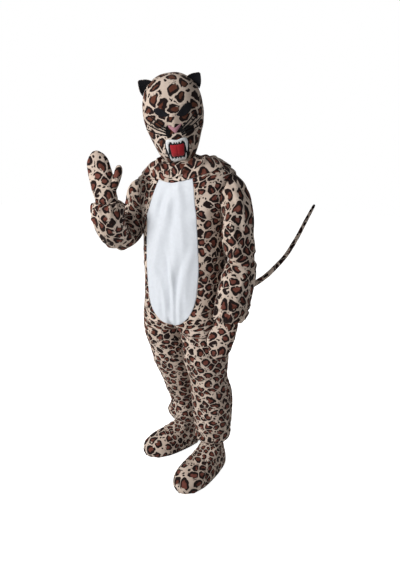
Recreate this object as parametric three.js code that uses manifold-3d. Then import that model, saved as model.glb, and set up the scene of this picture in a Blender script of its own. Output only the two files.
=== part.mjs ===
// A leopard costume for fancy dress, in the shape that it has when it is worn, with nobody in it.
// Plush jumpsuit with a white belly panel and a stuffed tail, hood mask with a bib, mittens, boot covers.
// Millimetres, +Z up, the front faces -Y and the wearer's left is +X.
// Heights in the tables are above the floor; the finished group hangs from the shoulders, so it is
// lowered by SHOULDER_HEIGHT at the end.
import * as THREE from "three";
import { mergeVertices } from "three/addons/utils/BufferGeometryUtils.js";
import Module from "manifold-3d";

// Driving sizes
const SHOULDER_HEIGHT = 1385; // the shoulder line that carries the suit, above the floor
const PLUSH = 2.6; // backing and pile
const KNIT = 1.6; // smooth white cloth of the belly panel
const FELT = 1.8; // appliques of the face
const SEAM = 0.3; // gap between two pieces that are sewn together
const EDGE = SEAM / 2; // what each of them gives up
const CROTCH = 722;
const NECKLINE = 1392;
const ARMHOLE = { bottom: 1185, top: 1345, reach: 60 }; // reach is half its width from front to back
const AROUND_PANEL = 6; // columns of each front and back
const AROUND_SLEEVE = 16;
const AROUND_BELLY = 8;
const SCOOP = { from: 1285, front: 50, back: 12 }; // the neckline dips at the middle of front and back
const RIGHT_SHOULDER_DROP = 30; // that arm is held forward
const BELLY_PULL = 0.38; // how much narrower that half of the white panel is at the top

// Jumpsuit, shoulders to crotch. cx is the middle of each half's section, wide its half width, front and
// back its depths, belly the half width of the white panel.
const TORSO = [
  { z: NECKLINE, cx: 0, wide: 112, front: 84, back: 74, belly: 70 },
  { z: 1380, cx: 0, wide: 146, front: 92, back: 82, belly: 78 },
  { z: 1366, cx: 0, wide: 178, front: 99, back: 89, belly: 83 },
  { z: 1345, cx: 0, wide: 203, front: 106, back: 96, belly: 87 },
  { z: 1300, cx: 0, wide: 197, front: 113, back: 104, belly: 95 },
  { z: 1240, cx: 0, wide: 182, front: 118, back: 108, belly: 102 },
  { z: 1180, cx: 0, wide: 174, front: 121, back: 110, belly: 109 },
  { z: 1080, cx: 0, wide: 171, front: 124, back: 111, belly: 116 },
  { z: 1000, cx: 0, wide: 170, front: 125, back: 114, belly: 119 },
  { z: 900, cx: 0, wide: 168, front: 125, back: 120, belly: 113 },
  { z: 860, cx: 8, wide: 160, front: 125, back: 123, belly: 106 },
  { z: 815, cx: 30, wide: 143, front: 124, back: 124, belly: 88 },
  { z: 782, cx: 52, wide: 126, front: 123, back: 124, belly: 60 },
  { z: 763, cx: 66, wide: 113, front: 121, back: 123, belly: 32 },
  { z: 754, cx: 72, wide: 107, front: 120, back: 123, belly: 0 },
  { z: 735, cx: 84, wide: 96, front: 118, back: 121, belly: 0 },
  { z: CROTCH, cx: 91, wide: 90.6, front: 116, back: 119, belly: 0 },
];

// How square the sections are, 2 is round.
const SQUARE = [
  { z: NECKLINE, front: 2.6, back: 2.3 },
  { z: 1240, front: 2.9, back: 2.4 },
  { z: 830, front: 2.9, back: 2.4 },
  { z: 690, front: 2.3, back: 2.2 },
  { z: 240, front: 2.1, back: 2.1 },
  { z: 170, front: 2, back: 2 },
];

// Legs below the crotch: the middle of each section, its half width, and its depth to front and back.
const LEFT_LEG = [
  { z: 690, cx: 95, cy: 0, wide: 91, front: 110, back: 112 },
  { z: 619, cx: 97, cy: 1, wide: 91, front: 104, back: 104 },
  { z: 544, cx: 99, cy: 10, wide: 84, front: 92, back: 92 },
  { z: 500, cx: 100, cy: 18, wide: 79, front: 84, back: 82 },
  { z: 470, cx: 102, cy: 24, wide: 82, front: 84, back: 86 },
  { z: 420, cx: 106, cy: 36, wide: 88, front: 90, back: 92 },
  { z: 360, cx: 108, cy: 45, wide: 88, front: 90, back: 90 },
  { z: 280, cx: 107, cy: 51, wide: 84, front: 86, back: 86 },
  { z: 228, cx: 105, cy: 55, wide: 77, front: 80, back: 80 },
  { z: 196, cx: 104, cy: 58, wide: 80, front: 84, back: 82 },
  { z: 176, cx: 101, cy: 66, wide: 70, front: 75, back: 72 },
  { z: 162, cx: 99.1, cy: 71, wide: 57, front: 57, back: 57 },
];
const RIGHT_LEG = [
  { z: 690, cx: 94, cy: 3, wide: 90, front: 110, back: 112 },
  { z: 619, cx: 95, cy: 24, wide: 90, front: 102, back: 102 },
  { z: 544, cx: 94, cy: 48, wide: 88, front: 96, back: 96 },
  { z: 500, cx: 94, cy: 64, wide: 86, front: 92, back: 92 },
  { z: 440, cx: 95, cy: 86, wide: 79, front: 84, back: 84 },
  { z: 380, cx: 95, cy: 106, wide: 72, front: 76, back: 76 },
  { z: 320, cx: 96, cy: 126, wide: 65, front: 68, back: 68 },
  { z: 282, cx: 97, cy: 138, wide: 62, front: 64, back: 64 },
  { z: 240, cx: 99, cy: 151, wide: 70, front: 74, back: 74 },
  { z: 196, cx: 101, cy: 164, wide: 82, front: 84, back: 84 },
  { z: 164, cx: 102, cy: 177, wide: 76, front: 80, back: 76 },
  { z: 150, cx: 103.6, cy: 187, wide: 68, front: 72, back: 68 },
  { z: 140, cx: 104.6, cy: 192.2, wide: 58, front: 58, back: 58 },
];

// Folds of the suit. Each is a soft ridge (or a trough, where high is negative) that runs round the limb at
// height z in the direction turn (degrees from the side, front negative) over the angle reach, and climbs
// by slope mm for each degree.
const LEFT_FOLDS = [
  { z: 690, turn: -120, reach: 46, slope: -0.9, broad: 15, high: 6 },
  { z: 648, turn: -112, reach: 50, slope: -0.8, broad: 14, high: -5 },
  { z: 520, turn: -60, reach: 60, slope: 0.4, broad: 13, high: -5 },
  { z: 486, turn: -30, reach: 70, slope: -0.3, broad: 12, high: 5 },
  { z: 452, turn: 30, reach: 70, slope: 0.3, broad: 12, high: -4 },
  { z: 300, turn: -90, reach: 60, slope: 0.3, broad: 13, high: -5 },
  { z: 252, turn: -20, reach: 80, slope: -0.25, broad: 12, high: 6 },
  { z: 222, turn: -110, reach: 80, slope: 0.2, broad: 10, high: -6 },
  { z: 205, turn: 60, reach: 70, slope: -0.2, broad: 10, high: 5 },
  { z: 1222, turn: -30, reach: 22, slope: 1.6, broad: 20, high: 6 },
  { z: 1000, turn: 50, reach: 28, slope: -0.6, broad: 18, high: 5 },
];
const RIGHT_FOLDS = [
  { z: 690, turn: -120, reach: 46, slope: 0.9, broad: 15, high: 6 },
  { z: 600, turn: -60, reach: 56, slope: 0.5, broad: 15, high: -5 },
  { z: 520, turn: -40, reach: 70, slope: -0.4, broad: 13, high: 5 },
  { z: 470, turn: -20, reach: 60, slope: 0.4, broad: 12, high: -5 },
  { z: 262, turn: -30, reach: 90, slope: 0.2, broad: 11, high: -5 },
  { z: 215, turn: -60, reach: 90, slope: -0.2, broad: 11, high: 6 },
  { z: 176, turn: 0, reach: 90, slope: 0.15, broad: 9, high: -5 },
  { z: 1222, turn: -30, reach: 22, slope: 1.6, broad: 20, high: 5 },
  { z: 1010, turn: 50, reach: 28, slope: -0.6, broad: 18, high: 5 },
];

// Sleeves, from below the armhole to the cuff: the middle of each ring, the way the sleeve runs there, and
// its radius outwards (away from the body) and forwards. gather is the height of the cuff's gathers.
const LEFT_SLEEVE = [
  { x: 212, y: -5, z: 1240, dx: 0.86, dy: 0, dz: -0.5, out: 70, fore: 68, gather: 0 },
  { x: 229, y: -14, z: 1190, dx: 0.5, dy: -0.1, dz: -0.86, out: 53, fore: 72, gather: 0 },
  { x: 233, y: -20, z: 1130, dx: 0.1, dy: -0.05, dz: -1, out: 54, fore: 76, gather: 0 },
  { x: 239, y: -15, z: 1080, dx: 0.1, dy: 0.05, dz: -1, out: 54, fore: 72, gather: 0 },
  { x: 246, y: -8, z: 1038, dx: 0.05, dy: 0, dz: -1, out: 47, fore: 60, gather: 0 },
  { x: 247, y: -15, z: 1006, dx: 0, dy: -0.2, dz: -1, out: 56, fore: 68, gather: 0 },
  { x: 244, y: -36, z: 950, dx: 0, dy: -0.3, dz: -1, out: 61, fore: 75, gather: 0 },
  { x: 240, y: -58, z: 880, dx: 0, dy: -0.3, dz: -1, out: 62, fore: 80, gather: 0 },
  { x: 237, y: -70, z: 836, dx: 0, dy: -0.15, dz: -1, out: 62, fore: 78, gather: 1.5 },
  { x: 233, y: -72, z: 818, dx: -0.08, dy: 0, dz: -1, out: 54, fore: 64, gather: 2 },
  { x: 231, y: -74, z: 814, dx: -0.16, dy: -0.22, dz: -0.96, out: 44, fore: 44, gather: 0 },
];
const RIGHT_SLEEVE = [
  { x: -211, y: -4, z: 1240, dx: -0.86, dy: -0.05, dz: -0.5, out: 68, fore: 68, gather: 0 },
  { x: -222, y: -12, z: 1192, dx: -0.45, dy: -0.25, dz: -0.86, out: 49, fore: 66, gather: 0 },
  { x: -231, y: -32, z: 1150, dx: -0.2, dy: -0.45, dz: -0.87, out: 52, fore: 62, gather: 0 },
  { x: -239, y: -60, z: 1108, dx: -0.1, dy: -0.75, dz: -0.65, out: 57, fore: 56, gather: 0 },
  { x: -243, y: -100, z: 1090, dx: 0, dy: -1, dz: 0, out: 62, fore: 52, gather: 0 },
  { x: -240, y: -145, z: 1105, dx: 0.1, dy: -0.75, dz: 0.65, out: 62, fore: 54, gather: 0 },
  { x: -232, y: -182, z: 1142, dx: 0.15, dy: -0.45, dz: 0.88, out: 63, fore: 57, gather: 0 },
  { x: -222, y: -205, z: 1186, dx: 0.1, dy: -0.2, dz: 0.97, out: 66, fore: 60, gather: 0 },
  { x: -214, y: -216, z: 1220, dx: 0, dy: -0.1, dz: 1, out: 66, fore: 60, gather: 1.5 },
  { x: -212, y: -219, z: 1236, dx: 0, dy: 0, dz: 1, out: 56, fore: 52, gather: 2 },
  { x: -211, y: -220, z: 1239, dx: -0.145, dy: -0.13, dz: 0.98, out: 44, fore: 44, gather: 0 },
];

// Hood mask, in its own frame: level sections by height, half width, and depth to the face and the nape.
const HEAD = {
  x: -22,
  y: -48,
  z: 1534,
  bow: 16,
  roll: -7,
  yaw: 31,
  square: 2.3,
};
const MASK = [
  { h: 150, wide: 0, face: 0, nape: 0 },
  { h: 146, wide: 34, face: 32, nape: 36 },
  { h: 136, wide: 57, face: 53, nape: 63 },
  { h: 118, wide: 80, face: 74, nape: 88 },
  { h: 92, wide: 98, face: 90, nape: 104 },
  { h: 58, wide: 107, face: 99, nape: 114 },
  { h: 20, wide: 110, face: 104, nape: 118 },
  { h: -20, wide: 105, face: 106, nape: 114 },
  { h: -55, wide: 94, face: 108, nape: 104 },
  { h: -85, wide: 84, face: 108, nape: 92 },
  { h: -110, wide: 74, face: 100, nape: 82 },
  { h: -130, wide: 65, face: 82, nape: 76 },
  { h: -142, wide: 61, face: 68, nape: 74 },
];
const MASK_ROWS = [-142, -130, -112, -92, -70, -48, -24, 0, 26, 54, 82, 106, 126, 140, 147, 150];
// Muzzle and eye hollows: soft swellings of the face at across and h, with their spread and depth.
const FACE_FORMS = [
  { across: 0, h: -62, broad: 44, tall: 42, out: 14 },
  { across: 0, h: -8, broad: 15, tall: 26, out: 5 },
  { across: 38, h: 40, broad: 20, tall: 15, out: -5 },
  { across: -38, h: 40, broad: 20, tall: 15, out: -5 },
];

// Bib of the mask: how far out on the suit each row lies (share of the way from hem to neckline) and how
// far it stands off the suit, then the rows that rise to the mask.
const BIB_HEM = { left: 1372, right: 1382, front: 1312, back: 1318 };
const BIB_ROWS = [
  { climb: 0, ease: 2.6 },
  { climb: 0.5, ease: 4.5 },
  { climb: 1, ease: 6 },
];

// Face appliques: outlines on the face, across and h from the mask's middle.
const EYE = [
  [17, 35], [25, 44], [35, 56], [46, 64], [57, 63], [62, 54], [58, 42], [49, 33], [37, 28], [26, 29],
];
const NOSE = [
  [0, -4], [9, 0], [18, 4], [24, 4], [20, -4], [11, -13], [3, -21], [0, -23],
  [-3, -21], [-11, -13], [-20, -4], [-24, 4], [-18, 4], [-9, 0],
];
const MOUTH_GROUND = [
  [0, -45], [14, -43], [29, -42], [39, -47], [42, -60],
  [42, -84], [37, -102], [33, -118], [24, -131], [10, -133],
  [0, -131], [-10, -133], [-24, -131], [-33, -118], [-37, -102],
  [-42, -84], [-42, -60], [-39, -47], [-29, -42], [-14, -43],
];
const TONGUE = [
  [0, -60], [7, -59], [14, -60], [21, -59], [24, -66], [22, -82], [21, -98], [14, -103], [7, -101],
  [0, -104], [-7, -101], [-14, -104], [-21, -99], [-22, -82], [-24, -66], [-21, -59], [-14, -60], [-7, -59],
];
const EYE_MIDDLE = [42, 47];
const EYE_SIZE = { left: { wide: 1.25, tall: 1.08 }, right: { wide: 1.15, tall: 0.82 } };
// Teeth, right half of each row of cloth: the gum edge and the biting edge.
const UPPER_TEETH = [
  { gumX: 0, gumH: -44.5, biteX: 0, biteH: -52 },
  { gumX: 5, gumH: -43.5, biteX: 4, biteH: -57 },
  { gumX: 10, gumH: -42, biteX: 8, biteH: -51 },
  { gumX: 15, gumH: -41, biteX: 13, biteH: -57 },
  { gumX: 21, gumH: -40, biteX: 18, biteH: -50 },
  { gumX: 28, gumH: -40, biteX: 23, biteH: -52 },
  { gumX: 35, gumH: -44, biteX: 27, biteH: -58 },
  { gumX: 38, gumH: -58, biteX: 28, biteH: -68 },
  { gumX: 36, gumH: -72, biteX: 29, biteH: -78 },
  { gumX: 31.5, gumH: -88, biteX: 30, biteH: -88.5 },
];
const LOWER_TEETH = [
  { gumX: 0, gumH: -124, biteX: 0, biteH: -110 },
  { gumX: 5, gumH: -126, biteX: 4, biteH: -106 },
  { gumX: 11, gumH: -128, biteX: 9, biteH: -112 },
  { gumX: 18, gumH: -127, biteX: 15, biteH: -107 },
  { gumX: 25, gumH: -121, biteX: 20, biteH: -112 },
  { gumX: 29, gumH: -110, biteX: 23, biteH: -106 },
  { gumX: 29, gumH: -101, biteX: 25, biteH: -97 },
  { gumX: 28.5, gumH: -93, biteX: 27, biteH: -92 },
];
// Whiskers: root and tip on the face, and how far the middle and the tip stand off it.
const WHISKERS = [
  { rootX: 16, rootH: -16, tipX: 74, tipH: 34, bow: 6, off: 5 },
  { rootX: 18, rootH: -21, tipX: 82, tipH: 24, bow: 7, off: 6 },
  { rootX: 20, rootH: -26, tipX: 88, tipH: 12, bow: 7, off: 7 },
  { rootX: 21, rootH: -31, tipX: 92, tipH: -8, bow: 6, off: 7 },
];
const WHISKER_RADIUS = 1.1;

// Ears, in the mask's frame: the two ends of the base, the tip, and how much the ear is cupped.
const EAR = {
  inner: { x: 55, y: -14, h: 128 },
  outer: { x: 97, y: -8, h: 86 },
  tip: { x: 107, y: -14, h: 140 },
  cup: 9,
};

// Mittens, from the cuff to the finger tips, in the hand's own frame.
const MITTEN = [
  { w: -26, wide: 40, thick: 40, u: 0 },
  { w: 4, wide: 41.4, thick: 41.4, u: 0 },
  { w: 30, wide: 44, thick: 33, u: 0 },
  { w: 75, wide: 46, thick: 28, u: 0 },
  { w: 120, wide: 45, thick: 26, u: 1 },
  { w: 150, wide: 40, thick: 23, u: 2 },
  { w: 172, wide: 28, thick: 17, u: 3 },
  { w: 184, wide: 13, thick: 8, u: 3 },
];
const THUMB_SPREAD = [
  { w: 28, wide: 22, thick: 20, u: 16 },
  { w: 56, wide: 19, thick: 18, u: 42 },
  { w: 84, wide: 17, thick: 16, u: 62 },
  { w: 106, wide: 15, thick: 14, u: 72 },
  { w: 120, wide: 9, thick: 9, u: 76 },
];
const THUMB_CLOSED = [
  { w: 30, wide: 22, thick: 20, u: 14 },
  { w: 60, wide: 21, thick: 20, u: 30 },
  { w: 96, wide: 19, thick: 18, u: 38 },
  { w: 124, wide: 16, thick: 15, u: 40 },
  { w: 138, wide: 9, thick: 9, u: 40 },
];
const RIGHT_HAND = {
  x: -211,
  y: -220,
  z: 1239,
  toX: -0.145,
  toY: -0.13,
  toZ: 0.98,
  acrossX: 0.93,
  acrossY: 0.36,
  stretch: 1,
  thumb: THUMB_SPREAD,
};
const LEFT_HAND = {
  x: 231,
  y: -74,
  z: 814,
  toX: -0.16,
  toY: -0.22,
  toZ: -0.96,
  acrossX: -0.9,
  acrossY: -0.42,
  stretch: 0.9,
  thumb: THUMB_CLOSED,
};

// Boot covers: outline by height above the floor; back shifts the ring towards the heel.
const BOOT = [
  { z: 3.3, long: 157, wide: 62, back: 0 },
  { z: 22, long: 163, wide: 70, back: 0 },
  { z: 46, long: 160, wide: 70, back: 1 },
  { z: 68, long: 146, wide: 65, back: 12 },
  { z: 86, long: 120, wide: 57, back: 34 },
  { z: 102, long: 88, wide: 53, back: 60 },
  { z: 119, long: 61, wide: 52, back: 78 },
  { z: 136, long: 52, wide: 51.5, back: 84 },
  { z: 182, long: 51, wide: 51, back: 84 },
];
const BOOT_TAPER = 0.1; // the toe is broader than the heel
const SOLE = 3;
const LEFT_BOOT = { x: 86, y: -12, turn: -9 };
const RIGHT_BOOT = { x: -144, y: 118, turn: -28 };

// Tail: it swings out behind the wearer's left side. Distance along that way, height, radius.
const TAIL_WAY = { x: 0.64, y: 0.768 };
const TAIL_ROOT = { x: 0, z: 903 };
const TAIL = [
  { along: 26, z: 886, radius: 16 },
  { along: 60, z: 862, radius: 15.5 },
  { along: 130, z: 832, radius: 14.5 },
  { along: 200, z: 828, radius: 13.5 },
  { along: 262, z: 846, radius: 12.5 },
  { along: 320, z: 878, radius: 11.5 },
  { along: 372, z: 922, radius: 10.5 },
  { along: 412, z: 962, radius: 10 },
  { along: 444, z: 1008, radius: 9.5 },
  { along: 474, z: 1058, radius: 9 },
  { along: 502, z: 1112, radius: 8.2 },
  { along: 524, z: 1152, radius: 7.4 },
  { along: 543, z: 1187, radius: 5.5 },
];
const TAIL_SEAT = { off: 0.5, wider: 1.3 };
const PLACKET = { half: 15, thick: 1.8, bottom: 935 };

const degrees = Math.PI / 180;
const point = (x, y, z) => new THREE.Vector3(x, y, z);

// Value of a table's column at a height, on a curve through the rows that never overshoots them.
function column(table, key, name) {
  const rows = [...table].sort((p, q) => p[key] - q[key]);
  const at = rows.map((row) => row[key]);
  const value = rows.map((row) => row[name]);
  const slope = at.slice(1).map((v, i) => (value[i + 1] - value[i]) / (v - at[i]));
  const tangent = at.map((_, i) => {
    if (i === 0) return slope[0];
    if (i === at.length - 1) return slope[i - 1];
    const product = slope[i - 1] * slope[i];
    return product <= 0 ? 0 : (2 * product) / (slope[i - 1] + slope[i]);
  });
  return (v) => {
    const x = Math.min(Math.max(v, at[0]), at[at.length - 1]);
    let i = 0;
    while (i < at.length - 2 && x > at[i + 1]) i += 1;
    const span = at[i + 1] - at[i];
    const t = (x - at[i]) / span;
    const t2 = t * t;
    const t3 = t2 * t;
    return (
      value[i] * (2 * t3 - 3 * t2 + 1) +
      tangent[i] * span * (t3 - 2 * t2 + t) +
      value[i + 1] * (3 * t2 - 2 * t3) +
      tangent[i + 1] * span * (t3 - t2)
    );
  };
}

const columns = (table, key, names) =>
  Object.fromEntries(names.map((name) => [name, column(table, key, name)]));

// Distance from the middle of a rounded section to its edge, in direction angle.
function sectionRadius(angle, wide, deep, square) {
  const across = Math.abs(Math.cos(angle)) / Math.max(wide, 1e-6);
  const along = Math.abs(Math.sin(angle)) / Math.max(deep, 1e-6);
  return (across ** square + along ** square) ** (-1 / square);
}

// Outward unit normal of a surface: at(a, b) is its point, core(a, b) a point inside it.
function outward(surface, a, b) {
  const [da, db] = surface.step;
  const alongA = surface.at(a + da, b).sub(surface.at(a - da, b));
  const alongB = surface.at(a, b + db).sub(surface.at(a, b - db));
  const normal = alongA.cross(alongB);
  const fromCore = surface.at(a, b).sub(surface.core(a, b));
  if (normal.length() < 1e-9) return fromCore.normalize();
  normal.normalize();
  return normal.dot(fromCore) < 0 ? normal.negate() : normal;
}

const offset = (surface, a, b, distance) =>
  surface.at(a, b).addScaledVector(outward(surface, a, b), distance);

// Triangles of a solid, collected as points. A face that has shrunk to a line is left out.
class Skin {
  constructor() {
    this.points = [];
  }
  face(p, q, r) {
    const least = 1e-3;
    if (p.distanceTo(q) < least || q.distanceTo(r) < least || r.distanceTo(p) < least) return;
    this.points.push(p, q, r);
  }
  quad(p, q, r, s) {
    this.face(p, q, r);
    this.face(p, r, s);
  }
  geometry() {
    let volume = 0;
    for (let i = 0; i < this.points.length; i += 3) {
      const [p, q, r] = this.points.slice(i, i + 3);
      volume += p.dot(q.clone().cross(r));
    }
    const numbers = [];
    for (let i = 0; i < this.points.length; i += 3) {
      const [p, q, r] = this.points.slice(i, i + 3);
      for (const v of volume < 0 ? [p, r, q] : [p, q, r]) numbers.push(v.x, v.y, v.z);
    }
    const made = new THREE.BufferGeometry();
    made.setAttribute("position", new THREE.Float32BufferAttribute(numbers, 3));
    made.computeVertexNormals();
    return made;
  }
}

const isPole = (row) => row.every((p) => p.distanceTo(row[0]) < 1e-6);
const middle = (row) => row.reduce((sum, p) => sum.add(p), point(0, 0, 0)).divideScalar(row.length);

// Draws the free edges of a grid of points in by distance, each towards its neighbour in the grid.
function drawIn(grid, loop, distance) {
  const last = grid.length - 1;
  const end = grid[0].length - 1;
  const moved = grid.map((row) => row.map((p) => p.clone()));
  const pull = (i, j, target) => {
    const step = target.clone().sub(grid[i][j]);
    const length = step.length();
    if (length > distance) moved[i][j].addScaledVector(step, distance / length);
  };
  for (const [i, next] of [[0, 1], [last, last - 1]]) {
    const pole = isPole(grid[i]);
    if (pole && loop) continue;
    for (let j = 0; j <= end; j += 1) pull(i, j, pole ? middle(grid[next]) : grid[next][j]);
  }
  if (!loop)
    for (let i = 0; i <= last; i += 1) {
      if (isPole(grid[i])) continue;
      pull(i, 0, grid[i][1]);
      pull(i, end, grid[i][end - 1]);
    }
  return moved;
}

// One cut piece of cloth on a surface. grid holds the (a, b) places of its points, row by row; the outer
// face lies at lift and the inner face one thickness further in. loop joins the last column to the first.
function cloth(surface, grid, { thick = PLUSH, lift = 0, loop = false } = {}) {
  const lay = (distance) =>
    drawIn(grid.map((row) => row.map(([a, b]) => offset(surface, a, b, distance))), loop, EDGE);
  const outer = lay(lift);
  const inner = lay(lift - thick);
  const skin = new Skin();
  const last = grid.length - 1;
  const count = grid[0].length;
  const ends = loop ? count : count - 1;
  for (let j = 0; j < ends; j += 1) {
    const k = (j + 1) % count;
    for (let i = 0; i < last; i += 1) {
      skin.quad(outer[i][j], outer[i + 1][j], outer[i + 1][k], outer[i][k]);
      skin.quad(inner[i][j], inner[i][k], inner[i + 1][k], inner[i + 1][j]);
    }
    skin.quad(outer[0][j], outer[0][k], inner[0][k], inner[0][j]);
    skin.quad(outer[last][k], outer[last][j], inner[last][j], inner[last][k]);
  }
  if (!loop)
    for (let i = 0; i < last; i += 1) {
      skin.quad(outer[i + 1][0], outer[i][0], inner[i][0], inner[i + 1][0]);
      skin.quad(outer[i][ends], outer[i + 1][ends], inner[i + 1][ends], inner[i][ends]);
    }
  return skin.geometry();
}

// A closed solid through rings of points, with flat or pointed ends.
function closedLoft(rings) {
  const skin = new Skin();
  const count = rings[0].length;
  for (let j = 0; j < count; j += 1) {
    const k = (j + 1) % count;
    for (let i = 0; i < rings.length - 1; i += 1)
      skin.quad(rings[i][j], rings[i + 1][j], rings[i + 1][k], rings[i][k]);
    skin.face(middle(rings[0]), rings[0][j], rings[0][k]);
    skin.face(middle(rings[rings.length - 1]), rings[rings.length - 1][k], rings[rings.length - 1][j]);
  }
  return skin.geometry();
}

// A surface through rings, each a function of the angle; a runs from ring to ring.
function loftSurface(rings, cores) {
  const last = rings.length - 1;
  const between = (list, a, angle) => {
    const i = Math.min(Math.max(Math.floor(a), 0), last - 1);
    const t = a - i;
    const get = (k) => (typeof list[k] === "function" ? list[k](angle) : list[k].clone());
    const p1 = get(i);
    const p2 = get(i + 1);
    const p0 = i > 0 ? get(i - 1) : p1.clone().multiplyScalar(2).sub(p2);
    const p3 = i + 2 <= last ? get(i + 2) : p2.clone().multiplyScalar(2).sub(p1);
    const m1 = p2.clone().sub(p0).multiplyScalar(0.5);
    const m2 = p3.clone().sub(p1).multiplyScalar(0.5);
    const t2 = t * t;
    const t3 = t2 * t;
    return p1
      .multiplyScalar(2 * t3 - 3 * t2 + 1)
      .addScaledVector(m1, t3 - 2 * t2 + t)
      .addScaledVector(p2, 3 * t2 - 2 * t3)
      .addScaledVector(m2, t3 - t2);
  };
  return {
    step: [0.04, 0.04],
    at: (a, angle) => between(rings, a, angle),
    core: (a) => between(cores, a, 0),
  };
}

const range = (count, from, to) =>
  Array.from({ length: count + 1 }, (_, i) => from + ((to - from) * i) / count);
const turns = (count, start = 0) =>
  Array.from({ length: count }, (_, i) => start + (2 * Math.PI * i) / count);
const gridOf = (as, bs) => as.map((a) => bs.map((b) => [a, b]));

const ease = (t) => {
  const u = Math.min(Math.max(t, 0), 1);
  return u * u * (3 - 2 * u);
};
const squareAt = columns(SQUARE, "z", ["front", "back"]);
const square = (z, angle) => (angle < 0 ? squareAt.front(z) : squareAt.back(z));

// Jumpsuit. A point is found by its height and its direction round the half section.
function suitSurface(side, leg, folds, drop) {
  const table = [
    ...TORSO.map((row) => ({ cy: 0, ...row })),
    ...leg,
  ];
  const at = columns(table, "z", ["cx", "cy", "wide", "front", "back"]);
  const foldHeight = (z, angle) =>
    folds.reduce((sum, fold) => {
      const away = angle / degrees - fold.turn;
      const across = (z - fold.z - fold.slope * away) / fold.broad;
      const fade =
        Math.min(1, (Math.PI - Math.abs(angle)) / 0.7) *
        Math.min(1, Math.abs(z - CROTCH) / 40) *
        (z > CROTCH ? ease(Math.abs(Math.cos(angle)) / 0.35) : 1);
      return sum + fold.high * fade * Math.exp(-across * across - (away / fold.reach) ** 2);
    }, 0);
  const deep = (z, angle) => (angle < 0 ? at.front(z) : at.back(z));
  const surface = {
    step: [1, 0.02],
    at(z, angle) {
      const radius =
        sectionRadius(angle, at.wide(z), deep(z, angle), square(z, angle)) + foldHeight(z, angle);
      const x = at.cx(z) + radius * Math.cos(angle);
      const droop = drop * ease((x - 50) / 130) * ease((z - 1040) / 290);
      return point(side * x, at.cy(z) + radius * Math.sin(angle), z - droop);
    },
    core: (z) => point(side * at.cx(z), at.cy(z), z),
    // Direction in which the section reaches x, or y for the armhole's edge; face is -1 front, 1 back.
    towardsX(z, x, face) {
      const share = Math.min(Math.abs(x - at.cx(z)) / at.wide(z), 1);
      const n = square(z, face);
      const y = deep(z, face) * (1 - share ** n) ** (1 / n);
      return face * Math.atan2(y, x - at.cx(z));
    },
    towardsY(z, y, face) {
      const n = square(z, face);
      const x = at.wide(z) * (1 - (y / deep(z, face)) ** n) ** (1 / n);
      return face * Math.atan2(y, x);
    },
    // The opposite of towardsX.
    reach: (z, angle) =>
      at.cx(z) + sectionRadius(angle, at.wide(z), deep(z, angle), square(z, angle)) * Math.cos(angle),
  };
  return surface;
}
const suit = {
  left: suitSurface(1, LEFT_LEG, LEFT_FOLDS, 0),
  right: suitSurface(-1, RIGHT_LEG, RIGHT_FOLDS, RIGHT_SHOULDER_DROP),
};
const bellyHalf = column(TORSO, "z", "belly");

// Height of a row after the neckline's scoop.
function scooped(z, angle) {
  const dip = angle < 0 ? SCOOP.front : SCOOP.back;
  return z - dip * Math.abs(Math.sin(angle)) ** 3 * ease((z - SCOOP.from) / (NECKLINE - SCOOP.from));
}

const armholeMiddle = (ARMHOLE.top + ARMHOLE.bottom) / 2;
const armholeHalf = (ARMHOLE.top - ARMHOLE.bottom) / 2;
const armholeHeight = (angle) => armholeMiddle + armholeHalf * Math.sin(angle);
// The armhole's edge: angle 0 is its front, 90 degrees the shoulder tip, 180 degrees its back.
function armholeEdge(surface, angle) {
  const z = armholeHeight(angle);
  const face = Math.cos(angle) > 0 ? -1 : 1;
  return surface.at(z, surface.towardsY(z, ARMHOLE.reach * Math.abs(Math.cos(angle)), face));
}

// Heights of the panels' rows: close together at the crotch, the armhole and the folds.
const armholeRows = range(AROUND_SLEEVE / 2, -90, 90).map((turn) => armholeHeight(turn * degrees));
const BELLY_TIP = 754;
// Half width of the white panel. The raised arm draws its edge on the wearer's right inwards.
const bellyEdge = (z, side) => bellyHalf(z) * (side > 0 ? 1 : 1 - BELLY_PULL * ease((z - 1180) / 170));
const torsoRows = [
  CROTCH, BELLY_TIP, 760, 772, 790, 815, 850, 890, 935, 1000, 1070, 1130, 1165,
  ...armholeRows, 1358, 1370, 1382, NECKLINE,
];
const thighRows = [550, 600, 648, 686, 706, ...torsoRows];
const leftRows = [162, 168, 178, 192, 207, 222, 240, 262, 295, 335, 385, 430, 460, 485, 515, ...thighRows];
const rightRows = [140, 146, 156, 170, 188, 206, 226, 250, 285, 335, 390, 440, 475, 510, ...thighRows];

function suitPanel(surface, side, rows, face) {
  const grid = rows.map((z) => {
    const inArmhole = z > ARMHOLE.bottom && z < ARMHOLE.top;
    const share = (z - armholeMiddle) / armholeHalf;
    const start = inArmhole ? surface.towardsY(z, ARMHOLE.reach * Math.sqrt(1 - share * share), face) : 0;
    let end;
    if (z <= CROTCH) end = face * Math.PI;
    else if (face < 0 && z > BELLY_TIP) end = surface.towardsX(z, bellyEdge(z, side), face);
    else end = surface.towardsX(z, 0, face);
    return range(AROUND_PANEL, start, end).map((angle) => [scooped(z, angle), angle]);
  });
  return cloth(surface, grid);
}

// White panel: across runs from the wearer's right to the left.
const bellySurface = {
  step: [1, 1],
  at(z, across) {
    const half = across < 0 ? suit.right : suit.left;
    return half.at(z, half.towardsX(z, Math.abs(across), -1));
  },
  core: (z) => point(0, 0, z),
};
const bellyRows = torsoRows.filter((z) => z >= BELLY_TIP);
const bellyPanel = cloth(
  bellySurface,
  bellyRows.map((z) =>
    range(AROUND_BELLY, -1, 1).map((share) => {
      const across = share * bellyEdge(z, Math.sign(share));
      const angle = suit.left.towardsX(z, Math.abs(across), -1);
      const height = scooped(z, angle);
      return [height, Math.sign(across) * suit.left.reach(height, angle)];
    }),
  ),
  { thick: KNIT },
);

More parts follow.
